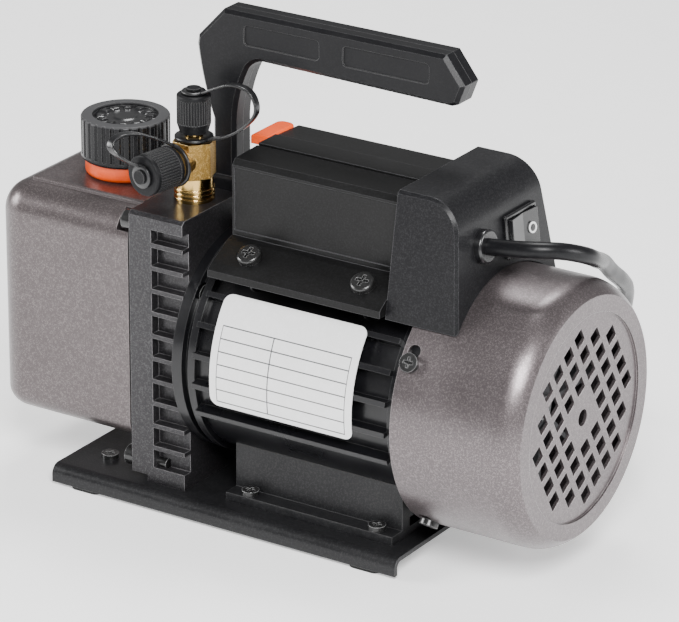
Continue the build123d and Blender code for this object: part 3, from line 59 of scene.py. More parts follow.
# stations of the frame that several pieces use, in metres
shaftZ = 0.07005
blockTop = 0.133
fittingX = -0.045725
fittingY = -0.0142
hexBottom = blockTop + 0.0111
hexTop = blockTop + 0.0269
portZ = blockTop + 0.0186
portLean = radians(9)
portOut = np.array([-sin(portLean), -cos(portLean), 0.0])
portAcross = np.array([cos(portLean), -sin(portLean), 0.0])
upright = np.array([0.0, 0.0, 1.0])
alongX = np.array([1.0, 0.0, 0.0])
alongY = np.array([0.0, 1.0, 0.0])

# the switch housing's leaning end wall: where it stands, the height of its foot, and how far it leans
wallX, wallFoot, wallLean = 0.1021, 0.112, radians(6.8)
faceNormal = np.array([cos(wallLean), 0.0, sin(wallLean)])


def wallPoint(y, z):
    # the wall goes back by its height above the foot times the tangent of its lean
    return np.array([wallX - (z - wallFoot) * tan(wallLean), y, z])


view = {"position": (0.95404, -1.45435, 0.79692), "aim": (0.018842, 0.0, 0.090731), "roll": 0.26,
        "lens": 232.9, "sensor": 36.0, "farthest": 20.0}

camera = bpy.data.objects.new("camera", bpy.data.cameras.new("camera"))
bpy.context.scene.collection.objects.link(camera)
camera.location = view["position"]
camera.data.lens = view["lens"]
camera.data.sensor_width = view["sensor"]
camera.data.clip_end = view["farthest"]
towards = Vector(view["aim"]) - Vector(view["position"])
turned = towards.to_track_quat("-Z", "Y").to_matrix().to_4x4()
turned.translation = Vector(view["position"])
camera.matrix_world = turned
camera.rotation_euler.rotate_axis("Z", radians(view["roll"]))
bpy.context.scene.camera = camera


lead = {"diameter": 0.0072, "length": 1.678, "coilX": 0.002, "coilY": 0.114, "outerTurn": 0.0452,
        "floor": 0.00365, "plugZ": 0.01085, "tailIn": 0.027, "tailOut": 0.032, "turns": 5.5, "perTurn": 16}
gland = {"y": -0.0159, "z": 0.1427, "proud": 0.0034}
glandFace = wallPoint(gland["y"], gland["z"]) + gland["proud"] * faceNormal
coilTop = lead["coilY"] + lead["outerTurn"]
leadRoute = [
    tuple(glandFace), (0.1130, -0.0159, 0.14444), (0.1234, -0.0142, 0.1456), (0.1316, -0.0070, 0.1448),
    (0.1360, 0.0055, 0.1396), (0.1328, 0.0190, 0.1326), (0.1276, 0.0340, 0.1258), (0.1228, 0.0495, 0.1150),
    (0.1192, 0.0660, 0.1050), (0.1132, 0.0810, 0.0944), (0.1045, 0.0940, 0.0780), (0.0960, 0.1070, 0.0570),
    (0.0870, 0.1225, 0.0350), (0.0750, 0.1395, 0.0160), (0.0600, 0.1530, 0.0060),
    (0.0440, coilTop, lead["floor"]),
    (lead["coilX"] + lead["tailIn"], coilTop, lead["floor"])]


def coilPoints():
    # turns beside each other: the radius steps in by a diameter near the end of each lower turn,
    # the lead climbs at the inside, and the radius steps out again on the upper turns.
    # a point is half a step along, at the radius over the cosine of half a step,
    # so the line touches the true circle
    step = lead["diameter"]
    tracks = [(0.0, 0, 0), (0.83, 0, 0), (1.0, 1, 0), (1.83, 1, 0), (2.0, 2, 0), (2.67, 2, 0), (2.83, 2, 1),
              (3.5, 2, 1), (3.67, 1, 1), (4.5, 1, 1), (4.67, 0, 1), (5.5, 0, 1)]
    turn = (np.arange(int(lead["turns"] * lead["perTurn"])) + 0.5) / lead["perTurn"]
    column = np.interp(turn, [t[0] for t in tracks], [t[1] for t in tracks])
    layer = np.interp(turn, [t[0] for t in tracks], [t[2] for t in tracks])
    angle = pi / 2 + 2 * pi * turn
    radius = (lead["outerTurn"] - column * step) / cos(pi / lead["perTurn"])
    return np.stack([lead["coilX"] + radius * np.cos(angle), lead["coilY"] + radius * np.sin(angle),
                     lead["floor"] + layer * step], -1)


def makeLead():
    plugX = lead["coilX"] + lead["tailOut"]
    plugY = lead["coilY"] - lead["outerTurn"]
    topTurn = lead["floor"] + lead["diameter"]
    levelTo, halfUp = lead["coilX"] + 0.012, lead["coilX"] + 0.024
    out = [(levelTo, plugY, topTurn), (halfUp, plugY, (topTurn + lead["plugZ"]) / 2),
           (plugX, plugY, lead["plugZ"])]
    points = np.vstack([np.array(leadRoute), coilPoints(), np.array(out)])
    curve = bpy.data.curves.new("lead", "CURVE")
    curve.dimensions = "3D"
    curve.bevel_depth = lead["diameter"] / 2
    curve.bevel_resolution = 5
    curve.resolution_u = 8
    curve.use_fill_caps = True
    # the material is there from the start, since one added later spoils the curve's box;
    # cordMaterial gives it its nodes
    curve.materials.append(bpy.data.materials.new("leadSheath"))
    spline = curve.splines.new("NURBS")
    spline.points.add(len(points) - 1)
    spline.points.foreach_set("co", np.hstack([points, np.ones((len(points), 1))]).ravel())
    spline.order_u = 3
    spline.use_endpoint_u = True
    piece = bpy.data.objects.new("mainsLead", curve)
    bpy.context.scene.collection.objects.link(piece)
    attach(piece, "pump")
    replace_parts(piece, "power_cord", "cord_coil")


makeLead()
print("lead made")


def makeGroup(name, inputs, outputs):
    group = bpy.data.node_groups.new(name, "ShaderNodeTree")
    for label, kind, value in inputs:
        socket = group.interface.new_socket(label, in_out="INPUT", socket_type=kind)
        if value is not None:
            socket.default_value = value
    for label, kind in outputs:
        group.interface.new_socket(label, in_out="OUTPUT", socket_type=kind)
    entry = group.nodes.new("NodeGroupInput")
    leave = group.nodes.new("NodeGroupOutput")
    return group, entry, leave


def addNode(tree, kind, **settings):
    node = tree.nodes.new(kind)
    for key, value in settings.items():
        setattr(node, key, value)
    return node


def mathNode(tree, operation, first, second=None, third=None):
    node = addNode(tree, "ShaderNodeMath", operation=operation)
    for socket, value in zip(node.inputs, (first, second, third)):
        if value is None:
            continue
        if isinstance(value, (int, float)):
            socket.default_value = value
        else:
            tree.links.new(value, socket)
    return node.outputs[0]


def spreadNode(tree, value, low, high, toLow=0.0, toHigh=1.0):
    node = addNode(tree, "ShaderNodeMapRange", interpolation_type="SMOOTHSTEP")
    tree.links.new(value, node.inputs["Value"])
    for label, number in (("From Min", low), ("From Max", high), ("To Min", toLow), ("To Max", toHigh)):
        node.inputs[label].default_value = number
    return node.outputs["Result"]


def mixColour(tree, factor, first, second, blend="MIX"):
    node = addNode(tree, "ShaderNodeMix", data_type="RGBA", blend_type=blend)
    for socket, value in ((node.inputs[0], factor), (node.inputs[6], first), (node.inputs[7], second)):
        if isinstance(value, (int, float)):
            socket.default_value = value
        elif isinstance(value, tuple):
            socket.default_value = (*value, 1.0)
        else:
            tree.links.new(value, socket)
    return node.outputs[2]


fleckNoise = {"coarse": 0.37, "fineShare": 0.65, "coarseShare": 0.35, "low": 0.49, "high": 0.6}
# the span over which the painted highlight on edges fades in
edgeHighlightSpan = (0.02, 0.25)
film = {"scale": 38.0, "detail": 5.0, "low": 0.35, "high": 0.65}


def makeFleckGroup():
    # flecks are the peaks of two noises; the skin between them rises and falls with a slower noise
    group, entry, leave = makeGroup("paintFlecks", [
        ("Vector", "NodeSocketVector", None), ("Base", "NodeSocketColor", (0.1, 0.1, 0.1, 1)),
        ("Fleck", "NodeSocketColor", (0.3, 0.3, 0.3, 1)), ("Scale", "NodeSocketFloat", 700.0),
        ("Amount", "NodeSocketFloat", 0.5)], [
        ("Color", "NodeSocketColor"), ("Height", "NodeSocketFloat"), ("Mask", "NodeSocketFloat")])
    fine = addNode(group, "ShaderNodeTexNoise")
    fine.inputs["Detail"].default_value = 2.0
    coarse = addNode(group, "ShaderNodeTexNoise")
    coarse.inputs["Detail"].default_value = 1.0
    for node in (fine, coarse):
        group.links.new(entry.outputs["Vector"], node.inputs["Vector"])
    group.links.new(entry.outputs["Scale"], fine.inputs["Scale"])
    group.links.new(mathNode(group, "MULTIPLY", entry.outputs["Scale"], fleckNoise["coarse"]),
                    coarse.inputs["Scale"])
    both = mathNode(group, "ADD", mathNode(group, "MULTIPLY", fine.outputs[0], fleckNoise["fineShare"]),
                    mathNode(group, "MULTIPLY", coarse.outputs[0], fleckNoise["coarseShare"]))
    mask = spreadNode(group, both, fleckNoise["low"], fleckNoise["high"])
    factor = mathNode(group, "MULTIPLY", mask, entry.outputs["Amount"])
    colour = mixColour(group, factor, entry.outputs["Base"], entry.outputs["Fleck"])
    group.links.new(colour, leave.inputs["Color"])
    group.links.new(both, leave.inputs["Height"])
    group.links.new(mask, leave.inputs["Mask"])
    return group


def makeEdgeGroup():
    # the painted highlight on edges is one less the cosine between the rounded normal and the true one
    group, entry, leave = makeGroup("edgeWear", [
        ("Radius", "NodeSocketFloat", 0.0006), ("Strength", "NodeSocketFloat", 1.0)], [
        ("Mask", "NodeSocketFloat"), ("Normal", "NodeSocketVector")])
    soft = addNode(group, "ShaderNodeBevel", samples=4)
    group.links.new(entry.outputs["Radius"], soft.inputs["Radius"])
    true = addNode(group, "ShaderNodeNewGeometry")
    dot = addNode(group, "ShaderNodeVectorMath", operation="DOT_PRODUCT")
    group.links.new(soft.outputs[0], dot.inputs[0])
    group.links.new(true.outputs["Normal"], dot.inputs[1])
    away = mathNode(group, "SUBTRACT", 1.0, dot.outputs["Value"])
    mask = mathNode(group, "MULTIPLY", spreadNode(group, away, *edgeHighlightSpan), entry.outputs["Strength"])
    group.links.new(mask, leave.inputs["Mask"])
    group.links.new(soft.outputs[0], leave.inputs["Normal"])
    return group


def makeDustGroup():
    # a slow noise thins or thickens a faint film, so a smooth finish isn't even all over
    group, entry, leave = makeGroup("handling", [
        ("Vector", "NodeSocketVector", None), ("Low", "NodeSocketFloat", 0.3),
        ("High", "NodeSocketFloat", 0.45)], [("Value", "NodeSocketFloat")])
    cloud = addNode(group, "ShaderNodeTexNoise")
    cloud.inputs["Scale"].default_value = film["scale"]
    cloud.inputs["Detail"].default_value = film["detail"]
    group.links.new(entry.outputs["Vector"], cloud.inputs["Vector"])
    span = mathNode(group, "SUBTRACT", entry.outputs["High"], entry.outputs["Low"])
    value = mathNode(group, "MULTIPLY_ADD", spreadNode(group, cloud.outputs[0], film["low"], film["high"]),
                     span, entry.outputs["Low"])
    group.links.new(value, leave.inputs["Value"])
    return group


flecks = makeFleckGroup()
edges = makeEdgeGroup()
handling = makeDustGroup()


def startMaterial(name, metallic=0.0, coat=0.0, coatRough=0.1, specular=0.5):
    material = bpy.data.materials.get(name) or bpy.data.materials.new(name)
    material.use_nodes = True
    tree = material.node_tree
    shader = tree.nodes["Principled BSDF"]
    shader.inputs["Metallic"].default_value = metallic
    shader.inputs["Coat Weight"].default_value = coat
    shader.inputs["Coat Roughness"].default_value = coatRough
    shader.inputs["Specular IOR Level"].default_value = specular
    place = addNode(tree, "ShaderNodeTexCoord").outputs["Object"]
    return material, tree, shader, place


def placeGroup(tree, group, place, **values):
    node = addNode(tree, "ShaderNodeGroup", node_tree=group)
    if "Vector" in node.inputs:
        tree.links.new(place, node.inputs["Vector"])
    for key, value in values.items():
        node.inputs[key].default_value = (*value, 1.0) if isinstance(value, tuple) else value
    return node


def addBump(tree, shader, height, strength, distance, normal=None):
    bump = addNode(tree, "ShaderNodeBump")
    bump.inputs["Strength"].default_value = strength
    bump.inputs["Distance"].default_value = distance
    tree.links.new(height, bump.inputs["Height"])
    if normal is not None:
        tree.links.new(normal, bump.inputs["Normal"])
    tree.links.new(bump.outputs[0], shader.inputs["Normal"])


paints = {
    # flecks of one colour over another, their scale and share, the range of roughness, the depth of the bump,
    # and the colour and share of the painted highlight along the edges
    "plateBlack": {
        "base": (0.01, 0.01, 0.011), "fleck": (0.05, 0.05, 0.052), "scale": 2600, "share": 0.35,
        "rough": (0.3, 0.42), "bump": 0.08, "edge": (0.22, 0.22, 0.22), "edgeShare": 0.4,
        "metallic": 0.2, "coat": 0.1, "specular": 0.3},
    "blockGrey": {
        "base": (0.016, 0.015, 0.017), "fleck": (0.1, 0.096, 0.1), "scale": 2600, "share": 0.4,
        "rough": (0.3, 0.42), "bump": 0.12, "edge": (0.42, 0.41, 0.42), "edgeShare": 0.6,
        "metallic": 0.45, "coat": 0.15, "specular": 0.5},
    "tankMauve": {
        "base": (0.095, 0.08, 0.081), "fleck": (0.27, 0.235, 0.235), "scale": 2800, "share": 0.42,
        "rough": (0.3, 0.4), "bump": 0.12, "edge": (0.6, 0.56, 0.56), "edgeShare": 0.35,
        "metallic": 0.72, "coat": 0.25, "specular": 0.5},
    "coverMauve": {
        "base": (0.115, 0.098, 0.101), "fleck": (0.32, 0.28, 0.285), "scale": 2800, "share": 0.42,
        "rough": (0.3, 0.4), "bump": 0.12, "edge": (0.7, 0.66, 0.66), "edgeShare": 0.4,
        "metallic": 0.72, "coat": 0.25, "specular": 0.5},
    "motorBlack": {
        "base": (0.004, 0.004, 0.005), "fleck": (0.012, 0.012, 0.013), "scale": 1900, "share": 0.3,
        "rough": (0.26, 0.38), "bump": 0.04, "edge": (0.12, 0.12, 0.12), "edgeShare": 0.4,
        "metallic": 0.0, "coat": 0.4, "specular": 0.25},
    "boxBlack": {
        "base": (0.005, 0.005, 0.005), "fleck": (0.016, 0.016, 0.017), "scale": 2900, "share": 0.5,
        "rough": (0.34, 0.44), "bump": 0.14, "edge": (0.2, 0.2, 0.21), "edgeShare": 0.5,
        "metallic": 0.0, "coat": 0.05, "specular": 0.18},
    "housingBlack": {
        "base": (0.007, 0.007, 0.008), "fleck": (0.03, 0.03, 0.032), "scale": 2900, "share": 0.5,
        "rough": (0.32, 0.44), "bump": 0.14, "edge": (0.2, 0.2, 0.21), "edgeShare": 0.6,
        "metallic": 0.0, "coat": 0.05, "specular": 0.18},
    "handleBlack": {
        "base": (0.005, 0.005, 0.006), "fleck": (0.014, 0.014, 0.015), "scale": 2900, "share": 0.5,
        "rough": (0.34, 0.44), "bump": 0.1, "edge": (0.2, 0.2, 0.2), "edgeShare": 0.6,
        "metallic": 0.0, "coat": 0.05, "specular": 0.18},
    "capBlack": {
        "base": (0.005, 0.005, 0.006), "fleck": (0.012, 0.012, 0.012), "scale": 1900, "share": 0.4,
        "rough": (0.22, 0.32), "bump": 0.05, "edge": (0.16, 0.16, 0.16), "edgeShare": 0.5,
        "metallic": 0.0, "coat": 0.5, "specular": 0.5},
    "knurlBlack": {
        "base": (0.006, 0.006, 0.007), "fleck": (0.02, 0.02, 0.02), "scale": 2600, "share": 0.5,
        "rough": (0.32, 0.44), "bump": 0.14, "edge": (0.2, 0.2, 0.2), "edgeShare": 0.6,
        "metallic": 0.0, "coat": 0.0, "specular": 0.14},
    "screwBlack": {
        "base": (0.008, 0.008, 0.008), "fleck": (0.03, 0.03, 0.03), "scale": 2600, "share": 0.4,
        "rough": (0.2, 0.32), "bump": 0.05, "edge": (0.4, 0.4, 0.4), "edgeShare": 0.8,
        "metallic": 0.0, "coat": 0.4, "specular": 0.5},
    "strapBlack": {
        "base": (0.006, 0.006, 0.007), "fleck": (0.014, 0.014, 0.014), "scale": 1900, "share": 0.4,
        "rough": (0.26, 0.36), "bump": 0.05, "edge": (0.12, 0.12, 0.12), "edgeShare": 0.4,
        "metallic": 0.0, "coat": 0.3, "specular": 0.5},
    "rubberBlack": {
        "base": (0.01, 0.01, 0.01), "fleck": (0.03, 0.03, 0.03), "scale": 2200, "share": 0.5,
        "rough": (0.62, 0.78), "bump": 0.12, "edge": (0.05, 0.05, 0.05), "edgeShare": 0.2,
        "metallic": 0.0, "coat": 0.0, "specular": 0.25},
    "plugBlack": {
        "base": (0.008, 0.008, 0.009), "fleck": (0.02, 0.02, 0.021), "scale": 2200, "share": 0.4,
        "rough": (0.42, 0.55), "bump": 0.1, "edge": (0.08, 0.08, 0.08), "edgeShare": 0.3,
        "metallic": 0.0, "coat": 0.0, "specular": 0.3},
    "sealOrange": {
        "base": (0.8, 0.075, 0.001), "fleck": (0.9, 0.11, 0.003), "scale": 1200, "share": 0.4,
        "rough": (0.32, 0.46), "bump": 0.04, "edge": (1.0, 0.3, 0.06), "edgeShare": 0.3,
        "metallic": 0.0, "coat": 0.0, "specular": 0.5},
    "fanGrey": {
        "base": (0.1, 0.1, 0.105), "fleck": (0.14, 0.14, 0.145), "scale": 1200, "share": 0.4,
        "rough": (0.4, 0.52), "bump": 0.06, "edge": (0.25, 0.25, 0.25), "edgeShare": 0.2,
        "metallic": 0.0, "coat": 0.0, "specular": 0.5},
    "caseBlue": {
        "base": (0.03, 0.035, 0.05), "fleck": (0.05, 0.055, 0.07), "scale": 1200, "share": 0.4,
        "rough": (0.3, 0.42), "bump": 0.04, "edge": (0.1, 0.1, 0.12), "edgeShare": 0.2,
        "metallic": 0.0, "coat": 0.0, "specular": 0.5},
    "vaneGrey": {
        "base": (0.1, 0.095, 0.085), "fleck": (0.2, 0.19, 0.17), "scale": 2200, "share": 0.6,
        "rough": (0.45, 0.6), "bump": 0.1, "edge": (0.2, 0.2, 0.18), "edgeShare": 0.3,
        "metallic": 0.0, "coat": 0.0, "specular": 0.5},
}


def paintMaterial(name):
    paint = paints[name]
    material, tree, shader, place = startMaterial(name, metallic=paint["metallic"], coat=paint["coat"],
                                                  coatRough=0.2, specular=paint["specular"])
    skin = placeGroup(tree, flecks, place, Base=paint["base"], Fleck=paint["fleck"], Scale=paint["scale"],
                      Amount=paint["share"])
    edgeHighlightNode = placeGroup(tree, edges, place, Radius=0.0005, Strength=paint["edgeShare"])
    low, high = paint["rough"]
    hand = placeGroup(tree, handling, place, Low=low, High=high)
    # the edges take a lighter colour: a painted highlight along them
    colour = mixColour(tree, edgeHighlightNode.outputs["Mask"], skin.outputs["Color"], paint["edge"])
    tree.links.new(colour, shader.inputs["Base Color"])
    tree.links.new(hand.outputs["Value"], shader.inputs["Roughness"])
    addBump(tree, shader, skin.outputs["Height"], paint["bump"], 0.0004, edgeHighlightNode.outputs["Normal"])
    return material


metals = {
    # base, brushed colour, rough low and high, stretch of the brush marks along X, Y and Z
    "zinc": ((0.50, 0.50, 0.50), (0.66, 0.66, 0.67), 0.26, 0.42, (300, 300, 300)),
    "groundSteel": ((0.42, 0.42, 0.43), (0.56, 0.56, 0.57), 0.2, 0.36, (60, 900, 900)),
    "castAlloy": ((0.45, 0.45, 0.46), (0.58, 0.58, 0.58), 0.36, 0.5, (400, 400, 400)),
    "reedSteel": ((0.35, 0.36, 0.40), (0.48, 0.48, 0.5), 0.22, 0.36, (400, 400, 60)),
    "sheetStack": ((0.22, 0.22, 0.23), (0.36, 0.36, 0.37), 0.4, 0.55, (1800, 20, 20)),
    "copper": ((0.62, 0.24, 0.09), (0.80, 0.38, 0.17), 0.3, 0.44, (900, 60, 60)),
    "bladeBrass": ((0.70, 0.52, 0.24), (0.80, 0.64, 0.34), 0.22, 0.36, (80, 900, 900)),
    "turnedRing": ((0.48, 0.48, 0.48), (0.62, 0.62, 0.62), 0.24, 0.4, (900, 120, 120)),
}


def metalMaterial(name):
    base, light, low, high, stretch = metals[name]
    material, tree, shader, place = startMaterial(name, metallic=1.0)
    mapping = addNode(tree, "ShaderNodeMapping")
    mapping.inputs["Scale"].default_value = stretch
    tree.links.new(place, mapping.inputs["Vector"])
    marks = addNode(tree, "ShaderNodeTexNoise")
    marks.inputs["Scale"].default_value = 1.0
    marks.inputs["Detail"].default_value = 3.0
    tree.links.new(mapping.outputs[0], marks.inputs["Vector"])
    edgeHighlightNode = placeGroup(tree, edges, place, Radius=0.0003, Strength=0.6)
    streak = mixColour(tree, spreadNode(tree, marks.outputs[0], 0.35, 0.65), base, light)
    # the edges are lighter than the brushed colour: a painted highlight
    colour = mixColour(tree, edgeHighlightNode.outputs["Mask"], streak, tuple(min(1, c * 1.25) for c in light))
    hand = placeGroup(tree, handling, place, Low=low, High=high)
    tree.links.new(colour, shader.inputs["Base Color"])
    tree.links.new(hand.outputs["Value"], shader.inputs["Roughness"])
    addBump(tree, shader, marks.outputs[0], 0.12, 0.0002, edgeHighlightNode.outputs["Normal"])
    return material


def brassMaterial():
    # polished below and above the hexagon, blasted with sand on its flats
    material, tree, shader, place = startMaterial("portBrass", metallic=1.0)
    split = addNode(tree, "ShaderNodeSeparateXYZ")
    tree.links.new(place, split.inputs[0])
    fade = 0.0002
    above = spreadNode(tree, split.outputs["Z"], hexBottom - fade, hexBottom + fade)
    below = spreadNode(tree, split.outputs["Z"], hexTop - fade, hexTop + fade, 1.0, 0.0)
    flats = mathNode(tree, "MULTIPLY", above, below)
    skin = placeGroup(tree, flecks, place, Base=(0.36, 0.21, 0.055), Fleck=(0.66, 0.45, 0.17), Scale=1900.0,
                      Amount=0.8)
    edgeHighlightNode = placeGroup(tree, edges, place, Radius=0.0004, Strength=0.8)
    plain = mixColour(tree, flats, (0.62, 0.41, 0.14), skin.outputs["Color"])
    # the edges turn pale gold: a painted highlight
    colour = mixColour(tree, edgeHighlightNode.outputs["Mask"], plain, (0.95, 0.78, 0.45))
    tree.links.new(colour, shader.inputs["Base Color"])
    rough = mathNode(tree, "MULTIPLY_ADD", flats, 0.24, 0.16)
    tree.links.new(rough, shader.inputs["Roughness"])
    height = mathNode(tree, "MULTIPLY", skin.outputs["Height"], flats)
    addBump(tree, shader, height, 0.5, 0.0006, edgeHighlightNode.outputs["Normal"])
    return material


def fillCapMaterial():
    # glossy flutes under a satin grey rim
    material, tree, shader, place = startMaterial("fillCapBlack", coat=0.05, coatRough=0.16, specular=0.2)
    split = addNode(tree, "ShaderNodeSeparateXYZ")
    tree.links.new(place, split.inputs[0])
    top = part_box("oil_fill_cap")[1].z
    rimStart, rimWhole = 0.0012, 0.0003  # below the top of the cap
    rim = spreadNode(tree, split.outputs["Z"], top - rimStart, top - rimWhole)
    skin = placeGroup(tree, flecks, place, Base=(0.005, 0.005, 0.006), Fleck=(0.014, 0.014, 0.014),
                      Scale=2400.0, Amount=0.5)
    edgeHighlightNode = placeGroup(tree, edges, place, Radius=0.0005, Strength=0.5)
    colour = mixColour(tree, rim, skin.outputs["Color"], (0.05, 0.05, 0.052))
    # the edges turn grey: a painted highlight
    colour = mixColour(tree, edgeHighlightNode.outputs["Mask"], colour, (0.2, 0.2, 0.2))
    tree.links.new(colour, shader.inputs["Base Color"])
    tree.links.new(mathNode(tree, "MULTIPLY_ADD", rim, 0.2, 0.27), shader.inputs["Roughness"])
    addBump(tree, shader, skin.outputs["Height"], 0.08, 0.0004, edgeHighlightNode.outputs["Normal"])
    return material


labelRules = {"columns": (-0.0085, 0.0172, 0.0556), "rows": 6, "lowest": -9.0, "highest": 27.0,
              "halfLine": 0.00026, "radius": 0.0534, "paper": (0.80, 0.80, 0.80), "white": (0.86, 0.86, 0.87),
              "ink": (0.05, 0.05, 0.055)}


def labelMaterial():
    # printed rules only: rows at equal angles round the motor and columns at three stations along it
    material, tree, shader, place = startMaterial("printedLabel", coat=0.25, coatRough=0.2)
    split = addNode(tree, "ShaderNodeSeparateXYZ")
    tree.links.new(place, split.inputs[0])
    level = mathNode(tree, "SUBTRACT", split.outputs["Z"], shaftZ)
    angle = mathNode(tree, "ARCTAN2", level, mathNode(tree, "MULTIPLY", split.outputs["Y"], -1.0))
    step = radians(labelRules["highest"] - labelRules["lowest"]) / labelRules["rows"]
    turns = mathNode(tree, "DIVIDE", mathNode(tree, "SUBTRACT", angle, radians(labelRules["lowest"])), step)
    away = mathNode(tree, "ABSOLUTE", mathNode(tree, "SUBTRACT", turns, mathNode(tree, "ROUND", turns)))
    row = mathNode(tree, "LESS_THAN", mathNode(tree, "MULTIPLY", away, step * labelRules["radius"]),
                   labelRules["halfLine"])
    inside = mathNode(tree, "MULTIPLY", mathNode(tree, "GREATER_THAN", turns, -0.05),
                      mathNode(tree, "LESS_THAN", turns, labelRules["rows"] + 0.05))
    first, middle, last = labelRules["columns"]
    along = split.outputs["X"]
    between = mathNode(tree, "MULTIPLY", mathNode(tree, "GREATER_THAN", along, first - 0.0001),
                       mathNode(tree, "LESS_THAN", along, last + 0.0001))
    ink = mathNode(tree, "MULTIPLY", row, inside)
    for station in (first, middle, last):
        near = mathNode(tree, "ABSOLUTE", mathNode(tree, "SUBTRACT", along, station))
        line = mathNode(tree, "MULTIPLY", mathNode(tree, "LESS_THAN", near, labelRules["halfLine"]), inside)
        ink = mathNode(tree, "MAXIMUM", ink, line)
    ink = mathNode(tree, "MULTIPLY", ink, between)
    skin = placeGroup(tree, flecks, place, Base=labelRules["paper"], Fleck=labelRules["white"], Scale=500.0,
                      Amount=0.5)
    printed = mixColour(tree, ink, skin.outputs["Color"], labelRules["ink"])
    tree.links.new(printed, shader.inputs["Base Color"])
    hand = placeGroup(tree, handling, place, Low=0.32, High=0.45)
    tree.links.new(hand.outputs["Value"], shader.inputs["Roughness"])
    addBump(tree, shader, skin.outputs["Height"], 0.03, 0.0003)
    return material


oilSurface = (0.0632, 0.0638)


def glassMaterial():
    # clear above the oil's surface and amber below it
    material, tree, shader, place = startMaterial("sightGlass")
    split = addNode(tree, "ShaderNodeSeparateXYZ")
    tree.links.new(place, split.inputs[0])
    oil = spreadNode(tree, split.outputs["Z"], *oilSurface, 1.0, 0.0)
    tree.links.new(mixColour(tree, oil, (0.9, 0.93, 0.9), (0.72, 0.42, 0.10)), shader.inputs["Base Color"])
    shader.inputs["Transmission Weight"].default_value = 0.85
    shader.inputs["IOR"].default_value = 1.5
    hand = placeGroup(tree, handling, place, Low=0.03, High=0.12)
    tree.links.new(hand.outputs["Value"], shader.inputs["Roughness"])
    return material


def cordMaterial():
    # a smooth satin sheath with a faint grain
    material, tree, shader, place = startMaterial("leadSheath", coatRough=0.2, specular=0.2)
    skin = placeGroup(tree, flecks, place, Base=(0.005, 0.005, 0.006), Fleck=(0.012, 0.012, 0.013),
                      Scale=1700.0, Amount=0.5)
    hand = placeGroup(tree, handling, place, Low=0.24, High=0.36)
    tree.links.new(skin.outputs["Color"], shader.inputs["Base Color"])
    tree.links.new(hand.outputs["Value"], shader.inputs["Roughness"])
    addBump(tree, shader, skin.outputs["Height"], 0.08, 0.0004)
    return material


def markMaterial():
    material, tree, shader, place = startMaterial("switchMark")
    skin = placeGroup(tree, flecks, place, Base=(0.78, 0.78, 0.78), Fleck=(0.9, 0.9, 0.9), Scale=1600.0,
                      Amount=0.6)
    hand = placeGroup(tree, handling, place, Low=0.35, High=0.5)
    tree.links.new(skin.outputs["Color"], shader.inputs["Base Color"])
    tree.links.new(hand.outputs["Value"], shader.inputs["Roughness"])
    return material


finishes = {name: paintMaterial(name) for name in paints}
finishes.update({name: metalMaterial(name) for name in metals})
finishes["portBrass"] = brassMaterial()
finishes["fillCapBlack"] = fillCapMaterial()
finishes["printedLabel"] = labelMaterial()
finishes["sightGlass"] = glassMaterial()
finishes["leadSheath"] = cordMaterial()
finishes["switchMark"] = markMaterial()

finishOf = {
    "plateBlack": ("base_plate", "motor_foot"),
    "rubberBlack": ("rubber_feet", "tank_gasket", "shaft_seal", "drain_seal"),
    "zinc": ("cylinder_bolts", "bell_screws", "handle_screws"),
    "screwBlack": ("base_screws", "block_bolts", "tank_bolts", "box_screws", "fan_cover_screws"),
    "blockGrey": ("pump_block",),
    "tankMauve": ("oil_tank",),
    "coverMauve": ("fan_cover",),
    "motorBlack": ("motor_front_bell", "motor_housing", "motor_rear_bell"),
    "boxBlack": ("terminal_box",),
    "housingBlack": ("switch_housing",),
    "handleBlack": ("handle_front_half", "handle_rear_half"),
    "capBlack": ("rocker_button", "switch_bezel", "cord_gland"),
    "knurlBlack": ("small_port_cap", "large_port_cap"),
    "sealOrange": ("cap_seal_ring", "orange_tab"),
    "fanGrey": ("cooling_fan",),
    "caseBlue": ("start_capacitor",),
    "vaneGrey": ("vane_a", "vane_b"),
    "plugBlack": ("plug_body",),
    "groundSteel": ("pump_rotor", "motor_shaft", "bearing_outer_rings", "bearing_inner_rings",
                    "bearing_balls"),
    "castAlloy": ("pump_cylinder", "pump_end_plate"),
    "reedSteel": ("exhaust_flap", "flap_stop", "vane_springs"),
    "sheetStack": ("stator_core", "motor_rotor"),
    "copper": ("stator_winding",),
    "bladeBrass": ("plug_blades", "drain_plug"),
    "turnedRing": ("sight_glass_ring",),
    "portBrass": ("intake_fitting",),
    "fillCapBlack": ("oil_fill_cap",),
    "printedLabel": ("rating_label",),
    "sightGlass": ("sight_glass",),
}
for finish, names in finishOf.items():
    for name in names:
        nodes[name].data.materials.clear()
        nodes[name].data.materials.append(finishes[finish])
print("finishes on", sum(len(names) for names in finishOf.values()), "nodes")


def joinSurfaces(name, grids, finish):
    # each grid of points is (rows by columns, closed along rows, closed along columns); each four neighbours
    # make one face, and all the grids become one mesh
    allPoints, allFaces, start = [], [], 0
    for points, closeU, closeV in grids:
        rows, columns = points.shape[:2]
        index = np.arange(rows * columns).reshape(rows, columns) + start
        if closeU:
            index = np.vstack([index, index[:1]])
        if closeV:
            index = np.hstack([index, index[:, :1]])
        faces = np.stack([index[:-1, :-1], index[1:, :-1], index[1:, 1:], index[:-1, 1:]], -1)
        allFaces.append(faces.reshape(-1, 4))
        allPoints.append(points.reshape(-1, 3))
        start += rows * columns
    mesh = bpy.data.meshes.new(name)
    mesh.from_pydata(np.vstack(allPoints), [], np.vstack(allFaces))
    mesh.polygons.foreach_set("use_smooth", np.full(len(mesh.polygons), True))
    mesh.materials.append(finish)
    piece = bpy.data.objects.new(name, mesh)
    bpy.context.scene.collection.objects.link(piece)
    return piece


